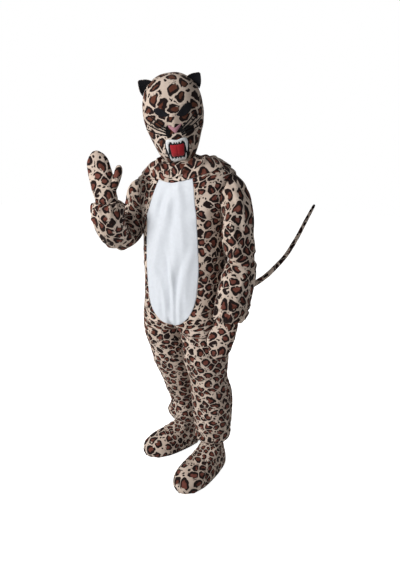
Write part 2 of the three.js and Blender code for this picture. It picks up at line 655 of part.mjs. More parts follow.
// Closing strip, on top of the two backs.
const backSurface = {
  step: [1, 1],
  at(z, across) {
    const half = across < 0 ? suit.right : suit.left;
    return half.at(z, half.towardsX(z, Math.abs(across), 1));
  },
  core: (z) => point(0, 0, z),
};
const placket = cloth(
  backSurface,
  torsoRows
    .filter((z) => z >= PLACKET.bottom)
    .map((z) => range(2, -PLACKET.half, PLACKET.half).map((across) => [scooped(z, Math.PI / 2), across])),
  { thick: PLACKET.thick, lift: SEAM + 0.5 + PLACKET.thick },
);

// Sleeves.
function sleeveSurface(side, half, table) {
  const across = point(side, 0, 0);
  const rings = table.map((row) => {
    const way = point(row.dx, row.dy, row.dz).normalize();
    const out = across.clone().addScaledVector(way, -across.dot(way)).normalize();
    const fore = way.clone().cross(out).multiplyScalar(side);
    const centre = point(row.x, row.y, row.z);
    return (angle) => {
      const wave = 1 + (row.gather / row.out) * Math.cos(8 * angle);
      return centre
        .clone()
        .addScaledVector(fore, row.fore * wave * Math.cos(angle))
        .addScaledVector(out, row.out * wave * Math.sin(angle));
    };
  });
  const start = middle(turns(12).map((angle) => armholeEdge(half, angle)));
  return loftSurface(
    [(angle) => armholeEdge(half, angle), ...rings],
    [start, ...table.map((row) => point(row.x, row.y, row.z))],
  );
}
const sleeves = {
  left: sleeveSurface(1, suit.left, LEFT_SLEEVE),
  right: sleeveSurface(-1, suit.right, RIGHT_SLEEVE),
};
const sleeveStops = [0, 0.5, 1, 1.5, 2, 2.6, 3.3, 4, 4.5, 5, 5.5, 6, 6.7, 7.5, 8.2, 9, 9.5, 10, 11];
const sleeve = (surface) =>
  cloth(surface, gridOf(sleeveStops, turns(AROUND_SLEEVE, -Math.PI / 2)), { loop: true });

// Solids that are joined or cut as whole bodies.
const library = await Module();
library.setup();
function solid(geometry) {
  const merged = geometry.clone();
  merged.deleteAttribute("normal");
  merged.deleteAttribute("uv");
  const welded = mergeVertices(merged, 1e-4);
  return new library.Manifold(
    new library.Mesh({
      numProp: 3,
      vertProperties: welded.attributes.position.array,
      triVerts: new Uint32Array(welded.index.array),
    }),
  );
}
function shape(body) {
  const mesh = body.getMesh();
  const made = new THREE.BufferGeometry();
  made.setAttribute("position", new THREE.BufferAttribute(mesh.vertProperties, 3));
  made.setIndex(new THREE.BufferAttribute(mesh.triVerts, 1));
  made.computeVertexNormals();
  return made;
}

// Mask.
const maskAt = columns(MASK, "h", ["wide", "face", "nape"]);
const maskSurface = {
  step: [0.6, 0.02],
  at(h, angle) {
    const deep = angle < 0 ? maskAt.face(h) : maskAt.nape(h);
    const radius = sectionRadius(angle, maskAt.wide(h), deep, HEAD.square);
    const placed = point(radius * Math.cos(angle), radius * Math.sin(angle), h);
    if (angle < 0)
      for (const form of FACE_FORMS)
        placed.y -=
          form.out *
          Math.exp(-(((placed.x - form.across) / form.broad) ** 2) - ((h - form.h) / form.tall) ** 2) *
          Math.min(1, -Math.sin(angle) * 3);
    return placed;
  },
  core: () => point(0, 0, 0),
};
// The face by its place across and up.
const faceSurface = {
  step: [0.8, 0.8],
  at(h, across) {
    const share = Math.min(Math.abs(across) / maskAt.wide(h), 1);
    const y = maskAt.face(h) * (1 - share ** HEAD.square) ** (1 / HEAD.square);
    return maskSurface.at(h, -Math.atan2(y, across));
  },
  core: () => point(0, 0, 0),
};
const maskFrontGrid = gridOf(MASK_ROWS, range(16, -Math.PI, 0));
const maskBackGrid = gridOf(MASK_ROWS, range(12, 0, Math.PI));
// Both halves of the mask end at the plane of the ear to ear seam, also where they meet at the crown.
const CROWN_GAP = 0.12;
const maskFront = shape(solid(cloth(maskSurface, maskFrontGrid)).trimByPlane([0, -1, 0], CROWN_GAP));
const maskBack = shape(solid(cloth(maskSurface, maskBackGrid)).trimByPlane([0, 1, 0], CROWN_GAP));

// An applique is the part of a layer of felt, laid over the whole face, that lies within its outline.
function felt(level) {
  const lift = SEAM + FELT + level * (SEAM + FELT);
  return solid(cloth(maskSurface, maskFrontGrid, { thick: FELT, lift }));
}
const layers = [felt(0), felt(1)];
function applique(outline, level) {
  const prism = new THREE.ExtrudeGeometry(
    new THREE.Shape(outline.map(([x, h]) => new THREE.Vector2(x, h))),
    { depth: 300, bevelEnabled: false },
  );
  prism.rotateX(Math.PI / 2);
  return shape(layers[level].intersect(solid(prism)));
}
const eyeOutline = (side, size) =>
  EYE.map(([x, h]) => [
    side * (EYE_MIDDLE[0] + size.wide * (x - EYE_MIDDLE[0])),
    EYE_MIDDLE[1] + size.tall * (h - EYE_MIDDLE[1]),
  ]);
// Both rows of teeth: along the gum edge one way and along the biting edge back.
function teeth(table) {
  const both = (x, h) => [
    ...table.slice(1).reverse().map((row) => [-row[x], row[h]]),
    ...table.map((row) => [row[x], row[h]]),
  ];
  return applique([...both("gumX", "gumH"), ...both("biteX", "biteH").reverse()], 1);
}

// A whisker: a thin stiff strand that stands off the face.
function whisker(side, row) {
  const spine = range(4, 0, 1).map((t) => {
    const h = row.rootH + (row.tipH - row.rootH) * t;
    const across = side * (row.rootX + (row.tipX - row.rootX) * t);
    const off = SEAM + WHISKER_RADIUS + row.bow * Math.sin(Math.PI * t) + row.off * t;
    return offset(faceSurface, h, across, off);
  });
  const rings = spine.map((centre, i) => {
    const way = spine[Math.min(i + 1, 4)].clone().sub(spine[Math.max(i - 1, 0)]).normalize();
    const u = way.clone().cross(point(0, 0, 1)).normalize();
    const v = way.clone().cross(u);
    const radius = WHISKER_RADIUS * (1 - 0.12 * i);
    return turns(4).map((angle) =>
      centre
        .clone()
        .addScaledVector(u, radius * Math.cos(angle))
        .addScaledVector(v, radius * Math.sin(angle)),
    );
  });
  return closedLoft(rings);
}

// Ears: a cupped leaf from the base to the tip. The base follows the mask.
function earSurface(side) {
  const corner = ({ x, y, h }) => point(side * x, y, h);
  const inner = corner(EAR.inner);
  const outer = corner(EAR.outer);
  const tip = corner(EAR.tip);
  return {
    step: [0.02, 0.02],
    at(rise, across) {
      const base = inner.clone().lerp(outer, (across + 1) / 2);
      const up = base.lerp(tip, rise);
      const round = 1 - across * across;
      up.y += EAR.cup * round * (1 - rise);
      up.addScaledVector(outer.clone().sub(inner).normalize(), across * 7 * Math.sin(Math.PI * rise));
      return up;
    },
    core: () => point(side * 80, 300, 100),
  };
}
const earRises = [-0.35, 0, 0.25, 0.5, 0.8, 1];
// The mask as one filled body, a seam's width larger, cuts the foot of each ear to the mask's form.
const maskEnvelope = solid(
  closedLoft(
    MASK_ROWS.map((h) =>
      [...range(16, -Math.PI, 0), ...range(12, 0, Math.PI).slice(1, 12)].map((angle) =>
        offset(maskSurface, h, angle, SEAM),
      ),
    ),
  ),
);
function ear(side, lift) {
  const leaf = cloth(earSurface(side), gridOf(earRises, range(6, -1, 1)), { lift, thick: 2 });
  return shape(solid(leaf).subtract(maskEnvelope));
}

// Bib. It lies on the suit from its hem to the neckline and then rises to the mask.
const hood = new THREE.Group();
hood.position.set(HEAD.x, HEAD.y, HEAD.z);
hood.rotation.set(HEAD.bow * degrees, HEAD.roll * degrees, HEAD.yaw * degrees, "ZYX");
hood.updateMatrix();

function onSuit(angle, z, distance) {
  const side = Math.cos(angle) >= 0 ? suit.left : suit.right;
  const own = Math.cos(angle) >= 0 ? angle : Math.sign(angle || 1) * (Math.PI - Math.abs(angle));
  return offset(side, z, own, distance);
}
const wrap = (angle) => Math.atan2(Math.sin(angle), Math.cos(angle));
const bibRings = BIB_ROWS.map(({ climb, ease: off }) => (turn) => {
  const angle = wrap(turn);
  const side = Math.cos(angle) >= 0 ? BIB_HEM.left : BIB_HEM.right;
  const middle = angle < 0 ? BIB_HEM.front : BIB_HEM.back;
  const hem = side + (middle - side) * Math.abs(Math.sin(angle)) ** 1.4;
  const height = hem + (scooped(NECKLINE, angle) - hem) * climb;
  const overStrip = angle > 0 ? 1.5 * Math.exp(-((Math.cos(angle) / 0.3) ** 2)) : 0;
  return onSuit(angle, height, SEAM + PLUSH + off + overStrip);
});
const maskBottom = MASK_ROWS[0];
const chinRing = (turn) => {
  const angle = wrap(turn - HEAD.yaw * degrees);
  return maskSurface.at(maskBottom, angle).applyMatrix4(hood.matrix);
};
const bibSurface = loftSurface(
  [...bibRings, chinRing],
  [1200, 1230, 1280, 1330].map((z) => point(-8, 0, z)),
);
const bibStops = [0, 0.5, 1, 1.5, 2, 2.3, 2.65, 3];
const bibFront = cloth(bibSurface, gridOf(bibStops, range(16, -Math.PI, 0)));
const bibBack = cloth(bibSurface, gridOf(bibStops, range(14, 0, Math.PI)));

// Rings of a mitten or thumb, less by one wall when inset; the last ring closes to a point.
function handRings(table, stretch, inset, count) {
  const rings = table.map((row) =>
    turns(count).map((angle) =>
      point(
        row.u + (row.wide - inset) * Math.cos(angle),
        (row.thick - inset) * Math.sin(angle),
        row.w * stretch,
      ),
    ),
  );
  const end = table[table.length - 1];
  const tip = point(end.u, 0, end.w * stretch + Math.max(3.6 - inset, 0.8));
  rings.push(turns(count).map(() => tip.clone()));
  return rings;
}
function mittenHalves({ stretch, thumb: thumbTable }) {
  const hand = (inset) => {
    const body = handRings(MITTEN, stretch, inset, 16);
    const thumb = handRings(thumbTable, stretch, inset, 10);
    if (inset > 0) for (const p of body[0]) p.z -= 10;
    return solid(closedLoft(body)).add(solid(closedLoft(thumb)));
  };
  const hollow = hand(0).subtract(hand(PLUSH));
  const half = (face) => {
    const block = new THREE.BoxGeometry(300, 120, 400);
    block.translate(0, face * (60 + EDGE), 100);
    return shape(hollow.intersect(solid(block)));
  };
  return { back: half(1), palm: half(-1) };
}
function handFrame({ x, y, z, toX, toY, toZ, acrossX, acrossY }) {
  const way = point(toX, toY, toZ).normalize();
  const across = point(acrossX, acrossY, 0);
  across.addScaledVector(way, -across.dot(way)).normalize();
  const through = way.clone().cross(across);
  const frame = new THREE.Group();
  frame.applyMatrix4(new THREE.Matrix4().makeBasis(across, through, way));
  frame.position.set(x, y, z);
  return frame;
}

// Boot covers.
const bootAt = columns(BOOT, "z", ["long", "wide", "back"]);
const bootSurface = {
  step: [0.5, 0.02],
  at(z, angle) {
    const broad = 1 - BOOT_TAPER * Math.sin(angle);
    const radius = sectionRadius(angle, bootAt.wide(z), bootAt.long(z), z > 125 ? 2 : 2.4);
    return point(radius * Math.cos(angle) * broad, bootAt.back(z) + radius * Math.sin(angle), z);
  },
  core: (z) => point(0, bootAt.back(z), z - 30),
};
const bootHeights = [3.3, 12, 26, 44, 60, 76, 90, 102, 114, 128, 144, 182];
const bootUpper = cloth(bootSurface, gridOf(bootHeights, turns(16, -Math.PI / 2)), { loop: true });
function bootSole() {
  const outline = turns(16, -Math.PI / 2).map((angle) => bootSurface.at(3.3, angle));
  return closedLoft([0, SOLE].map((z) => outline.map((p) => point(p.x, p.y, z))));
}
function boot({ x, y, turn }, pieces) {
  const frame = new THREE.Group();
  frame.position.set(x, y, 0);
  frame.rotation.z = turn * degrees;
  frame.add(...pieces);
  return frame;
}

// Tail.
const tailStart = suit.left.at(TAIL_ROOT.z, suit.left.towardsX(TAIL_ROOT.z, 0, 1)).y;
function tail() {
  const spots = range(20, 0, 1);
  const spine = new THREE.CatmullRomCurve3(
    TAIL.map((row) =>
      point(TAIL_ROOT.x + TAIL_WAY.x * row.along, tailStart + TAIL_WAY.y * row.along, row.z),
    ),
  );
  const radius = column(
    TAIL.map((row, i) => ({ t: i / (TAIL.length - 1), radius: row.radius })),
    "t",
    "radius",
  );
  const side = point(TAIL_WAY.y, -TAIL_WAY.x, 0);
  const rings = spots.map((t) => {
    const centre = spine.getPoint(t);
    const way = spine.getTangent(t);
    const up = way.clone().cross(side).normalize();
    return turns(10).map((angle) =>
      centre
        .clone()
        .addScaledVector(side, radius(t) * Math.cos(angle))
        .addScaledVector(up, radius(t) * Math.sin(angle)),
    );
  });
  const tip = spine.getPoint(1).addScaledVector(spine.getTangent(1), 4);
  rings.push(turns(10).map(() => tip.clone()));
  const seat = turns(10).map((angle) =>
    offset(
      backSurface,
      TAIL_ROOT.z - TAIL[0].radius * Math.sin(angle),
      TAIL_ROOT.x + TAIL_SEAT.wider * TAIL[0].radius * Math.cos(angle),
      TAIL_SEAT.off,
    ),
  );
  return closedLoft([seat, ...rings]);
}

// Finishes and assembly.
const finish = (color, roughness) => new THREE.MeshStandardMaterial({ color, roughness, metalness: 0 });
const LEOPARD = finish(0xb08d68, 0.85);
const WHITE = finish(0xe8ecf2, 0.55);
const BLACK = finish(0x0b0b10, 0.9);
const PINK = finish(0xc08fa0, 0.8);
const RED = finish(0xa81a2c, 0.75);
const TOOTH = finish(0xdfe2e2, 0.7);
const named = (name, geometry, material) => {
  const mesh = new THREE.Mesh(geometry, material);
  mesh.name = name;
  return mesh;
};

const costume = new THREE.Group();
costume.position.z = -SHOULDER_HEIGHT;
costume.add(
  named("front_left", suitPanel(suit.left, 1, leftRows, -1), LEOPARD),
  named("front_right", suitPanel(suit.right, -1, rightRows, -1), LEOPARD),
  named("back_left", suitPanel(suit.left, 1, leftRows, 1), LEOPARD),
  named("back_right", suitPanel(suit.right, -1, rightRows, 1), LEOPARD),
  named("belly_panel", bellyPanel, WHITE),
  named("back_placket", placket, LEOPARD),
  named("sleeve_left", sleeve(sleeves.left), LEOPARD),
  named("sleeve_right", sleeve(sleeves.right), LEOPARD),
  named("bib_front", bibFront, LEOPARD),
  named("bib_back", bibBack, LEOPARD),
  named("tail", tail(), LEOPARD),
);

hood.add(
  named("mask_front", maskFront, LEOPARD),
  named("mask_back", maskBack, LEOPARD),
  named("nose", applique(NOSE, 0), PINK),
  named("mouth_ground", applique(MOUTH_GROUND, 0), BLACK),
  named("tongue", applique(TONGUE, 1), RED),
  named("teeth_upper", teeth(UPPER_TEETH), TOOTH),
  named("teeth_lower", teeth(LOWER_TEETH), TOOTH),
);
for (const [name, side] of [["left", 1], ["right", -1]]) {
  hood.add(
    named("eye_" + name, applique(eyeOutline(side, EYE_SIZE[name]), 0), BLACK),
    named("ear_" + name + "_inner", ear(side, 0), BLACK),
    named("ear_" + name + "_outer", ear(side, -2 - SEAM), LEOPARD),
  );
  WHISKERS.forEach((row, i) =>
    hood.add(named("whisker_" + name + "_" + (i + 1), whisker(side, row), BLACK)),
  );
}
costume.add(hood);

for (const [name, hand] of [["left", LEFT_HAND], ["right", RIGHT_HAND]]) {
  const halves = mittenHalves(hand);
  const frame = handFrame(hand);
  frame.add(
    named("mitten_" + name + "_back", halves.back, LEOPARD),
    named("mitten_" + name + "_palm", halves.palm, LEOPARD),
  );
  costume.add(frame);
}
for (const [name, place] of [["left", LEFT_BOOT], ["right", RIGHT_BOOT]])
  costume.add(
    boot(place, [
      named("boot_" + name + "_upper", bootUpper, LEOPARD),
      named("boot_" + name + "_sole", bootSole(), BLACK),
    ]),
  );

const part = new THREE.Group();
part.add(costume);
export default part;
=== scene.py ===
# %% [markdown]
# A leopard costume for fancy dress, hollow, in the pose it is worn in. The set has five garments: a plush
# jumpsuit with a white belly panel and a stuffed tail, a hood mask with a bib, a pair of mittens and a pair
# of boot covers. Every garment is cloth on its own pattern form, so each piece below is a thin closed shell
# that follows the same named sizes as the solid it dresses, with its creases laid on one by one. Left and
# right are the costume's own: its front faces -Y, so its left is +X.

# %% Frame
import math
import bpy
import bmesh
import numpy as np
from mathutils import Matrix, Vector


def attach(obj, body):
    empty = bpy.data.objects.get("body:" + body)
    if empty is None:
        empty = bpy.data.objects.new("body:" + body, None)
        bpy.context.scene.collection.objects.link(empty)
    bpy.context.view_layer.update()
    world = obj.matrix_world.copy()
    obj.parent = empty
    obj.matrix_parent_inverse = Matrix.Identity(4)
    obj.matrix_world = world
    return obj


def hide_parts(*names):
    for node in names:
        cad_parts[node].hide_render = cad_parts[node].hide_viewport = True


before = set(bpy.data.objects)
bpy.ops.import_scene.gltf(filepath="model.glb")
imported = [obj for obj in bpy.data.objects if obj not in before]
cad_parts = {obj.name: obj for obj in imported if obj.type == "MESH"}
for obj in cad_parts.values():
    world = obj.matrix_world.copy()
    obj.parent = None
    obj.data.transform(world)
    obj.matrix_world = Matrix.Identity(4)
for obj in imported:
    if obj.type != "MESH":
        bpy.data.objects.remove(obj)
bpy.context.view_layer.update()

# %% [markdown]
# The camera comes first. Its angle was solved from the standing costume: it looks down from above chest
# height, from the left front, and a small shift keeps the framing. Sizes are in millimetres above the
# floor, as on a pattern, and turn to metres below the shoulder only where a mesh is made.

# %% Camera
MM = 0.001
SHOULDER_HEIGHT = 1385.0
CAMERA = {"turn": 31.0, "distance": 1885.0, "height": 1450.0, "down": 18.5, "lens": 30.16,
          "shift": (0.0242, 0.0305)}


def stand(name, data):
    """A new object with its data, linked into the scene."""
    made = bpy.data.objects.new(name, data)
    bpy.context.scene.collection.objects.link(made)
    return made


turn, down = math.radians(CAMERA["turn"]), math.radians(CAMERA["down"])
forward = Vector((-math.sin(turn) * math.cos(down), math.cos(turn) * math.cos(down), -math.sin(down)))
right = Vector((math.cos(turn), math.sin(turn), 0))
basis = Matrix((right, right.cross(forward), -forward)).transposed().to_4x4()
basis.translation = Vector((
    CAMERA["distance"] * math.sin(turn) * MM, -CAMERA["distance"] * math.cos(turn) * MM,
    (CAMERA["height"] - SHOULDER_HEIGHT) * MM))
camera = stand("Camera", bpy.data.cameras.new("Camera"))
camera.matrix_world = basis
camera.data.lens, camera.data.sensor_width, camera.data.clip_end = CAMERA["lens"], 36.0, 60.0
camera.data.shift_x, camera.data.shift_y = CAMERA["shift"]
bpy.context.scene.camera = camera
print("camera at", [round(v, 3) for v in camera.matrix_world.translation])

# %% [markdown]
# Cloth is measured before it is cut. A table holds one row for each section of the form, and a smooth
# curve through its rows, which never overshoots them, gives the section at any height.

# %% Curves through a table
def curve(table, key, name):
    """A function of key that runs smoothly through a table's column."""
    rows = sorted(table, key=lambda row: row[key])
    at = np.array([row[key] for row in rows], float)
    value = np.array([row[name] for row in rows], float)
    slope = np.diff(value) / np.diff(at)
    tangent = np.empty(len(at))
    tangent[0], tangent[-1] = slope[0], slope[-1]
    product = slope[:-1] * slope[1:]
    total = slope[:-1] + slope[1:]
    tangent[1:-1] = np.where(product <= 0, 0, 2 * product / np.where(total == 0, 1, total))

    def read(v):
        x = np.clip(np.asarray(v, float), at[0], at[-1])
        i = np.clip(np.searchsorted(at, x, side="left") - 1, 0, len(at) - 2)
        span = at[i + 1] - at[i]
        t = (x - at[i]) / span
        t2, t3 = t * t, t * t * t
        return (value[i] * (2 * t3 - 3 * t2 + 1) + tangent[i] * span * (t3 - 2 * t2 + t)
                + value[i + 1] * (3 * t2 - 2 * t3) + tangent[i + 1] * span * (t3 - t2))
    return read


def soft(t):
    u = np.clip(t, 0, 1)
    return u * u * (3 - 2 * u)


def section_radius(angle, wide, deep, square):
    """Distance from the middle of a rounded section to its edge."""
    across = np.abs(np.cos(angle)) / np.maximum(wide, 1e-6)
    along = np.abs(np.sin(angle)) / np.maximum(deep, 1e-6)
    return (across ** square + along ** square) ** (-1 / square)


def table(names, rows):
    return [dict(zip(names.split(), row)) for row in rows]


print("a section 200 by 100 reaches", round(float(section_radius(np.pi / 4, 100, 50, 2.3)), 1), "at a corner")

# %% [markdown]
# The jumpsuit's form. Each half is a stack of rounded sections: the trunk shares its sections left and
# right, and each leg bends its own way, the right one stepping back.

# %% Jumpsuit sections
CROTCH, NECKLINE, BELLY_TIP = 722.0, 1392.0, 754.0
TORSO = table("z cx wide front back belly", [
    (1392, 0, 112, 84, 74, 70), (1380, 0, 146, 92, 82, 78), (1366, 0, 178, 99, 89, 83),
    (1345, 0, 203, 106, 96, 87), (1300, 0, 197, 113, 104, 95), (1240, 0, 182, 118, 108, 102),
    (1180, 0, 174, 121, 110, 109), (1080, 0, 171, 124, 111, 116), (1000, 0, 170, 125, 114, 119),
    (900, 0, 168, 125, 120, 113), (860, 8, 160, 125, 123, 106), (815, 30, 143, 124, 124, 88),
    (782, 52, 126, 123, 124, 60), (763, 66, 113, 121, 123, 32), (754, 72, 107, 120, 123, 0),
    (735, 84, 96, 118, 121, 0), (722, 91, 90.6, 116, 119, 0)])
LEFT_LEG = table("z cx cy wide front back", [
    (690, 95, 0, 91, 110, 112), (619, 97, 1, 91, 104, 104), (544, 99, 10, 84, 92, 92),
    (500, 100, 18, 79, 84, 82), (470, 102, 24, 82, 84, 86), (420, 106, 36, 88, 90, 92),
    (360, 108, 45, 88, 90, 90), (280, 107, 51, 84, 86, 86), (228, 105, 55, 77, 80, 80),
    (196, 104, 58, 80, 84, 82), (176, 101, 66, 70, 75, 72), (162, 99.1, 71, 57, 57, 57)])
RIGHT_LEG = table("z cx cy wide front back", [
    (690, 94, 3, 90, 110, 112), (619, 95, 24, 90, 102, 102), (544, 94, 48, 88, 96, 96),
    (500, 94, 64, 86, 92, 92), (440, 95, 86, 79, 84, 84), (380, 95, 106, 72, 76, 76),
    (320, 96, 126, 65, 68, 68), (282, 97, 138, 62, 64, 64), (240, 99, 151, 70, 74, 74),
    (196, 101, 164, 82, 84, 84), (164, 102, 177, 76, 80, 76), (150, 103.6, 187, 68, 72, 68),
    (140, 104.6, 192.2, 58, 58, 58)])
SQUARE = table("z front back", [
    (1392, 2.6, 2.3), (1240, 2.9, 2.4), (830, 2.9, 2.4), (690, 2.3, 2.2), (240, 2.1, 2.1), (170, 2, 2)])
# Large folds, shared with the solids: height, direction, reach and climb round the limb, breadth, depth.
FOLD = "z turn reach slope broad high"
LEFT_FOLDS = table(FOLD, [
    (690, -120, 46, -0.9, 15, 6), (648, -112, 50, -0.8, 14, -5), (520, -60, 60, 0.4, 13, -5),
    (486, -30, 70, -0.3, 12, 5), (452, 30, 70, 0.3, 12, -4), (300, -90, 60, 0.3, 13, -5),
    (252, -20, 80, -0.25, 12, 6), (222, -110, 80, 0.2, 10, -6), (205, 60, 70, -0.2, 10, 5),
    (1222, -30, 22, 1.6, 20, 6), (1000, 50, 28, -0.6, 18, 5)])
RIGHT_FOLDS = table(FOLD, [
    (690, -120, 46, 0.9, 15, 6), (600, -60, 56, 0.5, 15, -5), (520, -40, 70, -0.4, 13, 5),
    (470, -20, 60, 0.4, 12, -5), (262, -30, 90, 0.2, 11, -5), (215, -60, 90, -0.2, 11, 6),
    (176, 0, 90, 0.15, 9, -5), (1222, -30, 22, 1.6, 20, 5), (1010, 50, 28, -0.6, 18, 5)])
RIGHT_SHOULDER_DROP = 30.0
square_front, square_back = curve(SQUARE, "z", "front"), curve(SQUARE, "z", "back")
belly_half = curve(TORSO, "z", "belly")


def squareness(z, face):
    return np.where(face < 0, square_front(z), square_back(z))


print("sections:", len(TORSO), "of the trunk,", len(LEFT_LEG), "and", len(RIGHT_LEG), "of the legs")

# %% [markdown]
# A half of the jumpsuit answers two questions: where is the cloth at a height and an angle, and at which
# angle does it meet a given width or depth. The second one finds where a seam runs.

# %% Halves of the jumpsuit
class Half:
    """One half of the jumpsuit: side 1 is the left, -1 the right."""

    def __init__(self, side, leg, folds, drop):
        rows = [dict(row, cy=0) for row in TORSO] + leg
        self.side, self.folds, self.drop = side, folds, drop
        for name in ("cx", "cy", "wide", "front", "back"):
            setattr(self, name, curve(rows, "z", name))

    def deep(self, z, face):
        return np.where(face < 0, self.front(z), self.back(z))

    def fold_height(self, z, angle):
        fade = (np.minimum(1, (np.pi - np.abs(angle)) / 0.7) * np.minimum(1, np.abs(z - CROTCH) / 40)
                * np.where(z > CROTCH, soft(np.abs(np.cos(angle)) / 0.35), 1))
        total = 0
        for f in self.folds:
            away = np.degrees(angle) - f["turn"]
            across = (z - f["z"] - f["slope"] * away) / f["broad"]
            total = total + f["high"] * np.exp(-across ** 2 - (away / f["reach"]) ** 2)
        return total * fade

    def at(self, z, angle):
        z, angle = np.broadcast_arrays(np.asarray(z, float), np.asarray(angle, float))
        radius = section_radius(angle, self.wide(z), self.deep(z, angle), squareness(z, angle))
        radius = radius + self.fold_height(z, angle)
        x = self.cx(z) + radius * np.cos(angle)
        droop = self.drop * soft((x - 50) / 130) * soft((z - 1040) / 290)
        return np.stack([self.side * x, self.cy(z) + radius * np.sin(angle), z - droop], -1)

    def towards_x(self, z, x, face):
        share = np.minimum(np.abs(x - self.cx(z)) / self.wide(z), 1)
        n = squareness(z, face)
        y = self.deep(z, face) * (1 - share ** n) ** (1 / n)
        return face * np.arctan2(y, x - self.cx(z))

    def towards_y(self, z, y, face):
        n = squareness(z, face)
        return face * np.arctan2(y, self.wide(z) * (1 - (y / self.deep(z, face)) ** n) ** (1 / n))


print("large folds:", len(LEFT_FOLDS), "left and", len(RIGHT_FOLDS), "right")

# %% [markdown]
# Smaller creases are listed one by one, in the same form as the folds: at the crotch, the knees, the waist and
# the bunched ankles. A simulation would drape them at random, and these are where a worn suit has them.

# %% Creases of the jumpsuit
LEFT_CREASES = table(FOLD, [
    (708, -140, 30, -1.1, 7, 3), (676, -150, 34, -0.8, 6, -2.5), (662, -104, 40, -0.7, 8, 2.6),
    (624, -70, 42, 0.4, 9, -2.2), (586, -128, 40, 0.5, 9, 2.2), (541, -80, 44, 0.5, 7, 2.6),
    (508, -96, 50, 0.35, 6, -2.8), (497, -64, 46, 0.5, 6, 2.8), (478, -110, 40, 0.3, 6, 2.6),
    (466, -44, 44, -0.4, 7, -2.4), (437, -88, 50, -0.3, 7, 2.4), (404, -30, 40, 0.5, 9, -2),
    (372, -100, 44, 0.4, 9, 2), (338, -60, 50, -0.35, 8, -2.2), (318, -120, 40, 0.3, 7, 2.2),
    (278, -70, 54, 0.2, 6, 2.6), (264, -104, 50, -0.2, 6, -2.8), (243, -84, 60, 0.12, 5, 3),
    (234, -40, 50, 0.2, 5, -3), (224, -66, 60, -0.15, 5, 3), (213, -100, 54, 0.15, 4.5, -3),
    (203, -60, 60, 0.12, 4.5, 2.8), (194, -110, 50, -0.1, 4, -2.4), (186, -40, 60, 0.1, 4, 2.2),
    (520, 70, 50, 0.4, 8, 2.6), (489, 110, 50, -0.3, 7, -2.8), (455, 80, 50, 0.3, 8, 2.6),
    (260, 80, 60, -0.2, 6, 3), (236, 110, 60, 0.2, 5, -3), (218, 70, 60, -0.15, 5, 3),
    (200, 100, 60, 0.15, 5, -2.6), (650, 60, 46, 0.7, 11, 3), (700, 110, 40, 0.8, 10, -3),
    (985, -22, 26, 0.5, 9, 2.4), (958, 8, 30, -0.4, 8, -2.4), (1032, -10, 24, -0.5, 10, 2.2),
    (930, -28, 26, -0.6, 9, 2.2), (1090, 30, 26, 0.8, 12, -2.6), (1150, -20, 18, 1.8, 9, 2.6),
    (1172, 22, 18, -1.8, 9, 2.6), (870, 30, 30, 0.7, 12, 2.4), (840, -34, 26, 0.7, 10, 2.2),
    (1262, -38, 12, 2.6, 8, -2.6), (1250, 42, 16, -2.2, 9, 2.8)])
RIGHT_CREASES = table(FOLD, [
    (706, -142, 30, 1.1, 7, 3), (672, -150, 34, 0.9, 6, -2.5), (648, -96, 40, 0.7, 8, 2.6),
    (618, -120, 42, -0.4, 9, -2.2), (572, -84, 40, 0.5, 9, 2.4), (548, -128, 44, 0.4, 7, -2.4),
    (505, -92, 50, -0.35, 6, 2.8), (492, -60, 46, 0.4, 6, -2.6), (455, -110, 44, 0.3, 7, 2.6),
    (420, -70, 44, -0.4, 8, -2.2), (384, -100, 44, 0.4, 8, 2.2), (346, -60, 50, 0.35, 8, 2.2),
    (312, -110, 44, -0.3, 7, -2.4), (286, -84, 54, 0.2, 6, 2.8), (272, -50, 50, -0.2, 6, -2.8),
    (250, -90, 60, 0.12, 5, 3.2), (240, -40, 50, 0.2, 5, -3), (229, -72, 60, -0.15, 5, 3.2),
    (204, -100, 54, 0.15, 4.5, -3.2), (192, -60, 60, 0.12, 4.5, 3), (182, -110, 50, -0.1, 4, -2.8),
    (168, -50, 60, 0.1, 4, 2.6), (512, 70, 50, 0.4, 8, 2.6), (470, 110, 50, -0.3, 7, -2.8),
    (300, 80, 60, -0.2, 7, 3), (262, 110, 60, 0.2, 6, -3), (232, 70, 60, -0.15, 5, 3),
    (208, 100, 60, 0.15, 5, -2.8), (184, 80, 60, 0.1, 5, 2.6), (650, 60, 46, -0.7, 11, 3),
    (990, -22, 26, 0.5, 9, 2.4), (962, 8, 30, -0.4, 8, -2.4), (1038, -10, 24, -0.5, 10, 2.2),
    (1150, -20, 18, 1.8, 9, 2.6), (1176, 22, 18, -1.8, 9, 2.6), (872, 30, 30, 0.7, 12, 2.4),
    (1258, -40, 12, 2.6, 8, -2.6), (1246, 42, 16, -2.2, 9, 2.8)])
left_form = Half(1, LEFT_LEG, LEFT_FOLDS, 0.0)
right_form = Half(-1, RIGHT_LEG, RIGHT_FOLDS, RIGHT_SHOULDER_DROP)
left_half = Half(1, LEFT_LEG, LEFT_FOLDS + LEFT_CREASES, 0.0)
right_half = Half(-1, RIGHT_LEG, RIGHT_FOLDS + RIGHT_CREASES, RIGHT_SHOULDER_DROP)
print("chest", round(float(2 * left_half.wide(1180))), "mm across the front")

# %% [markdown]
# A piece of cloth starts as a grid of points. Rows run along the piece and columns across it. Two things are
# read from the grid: which way is out, and where each point lies on the flat cloth, in metres, because the
# print and the pile belong to the cloth and not to the room.

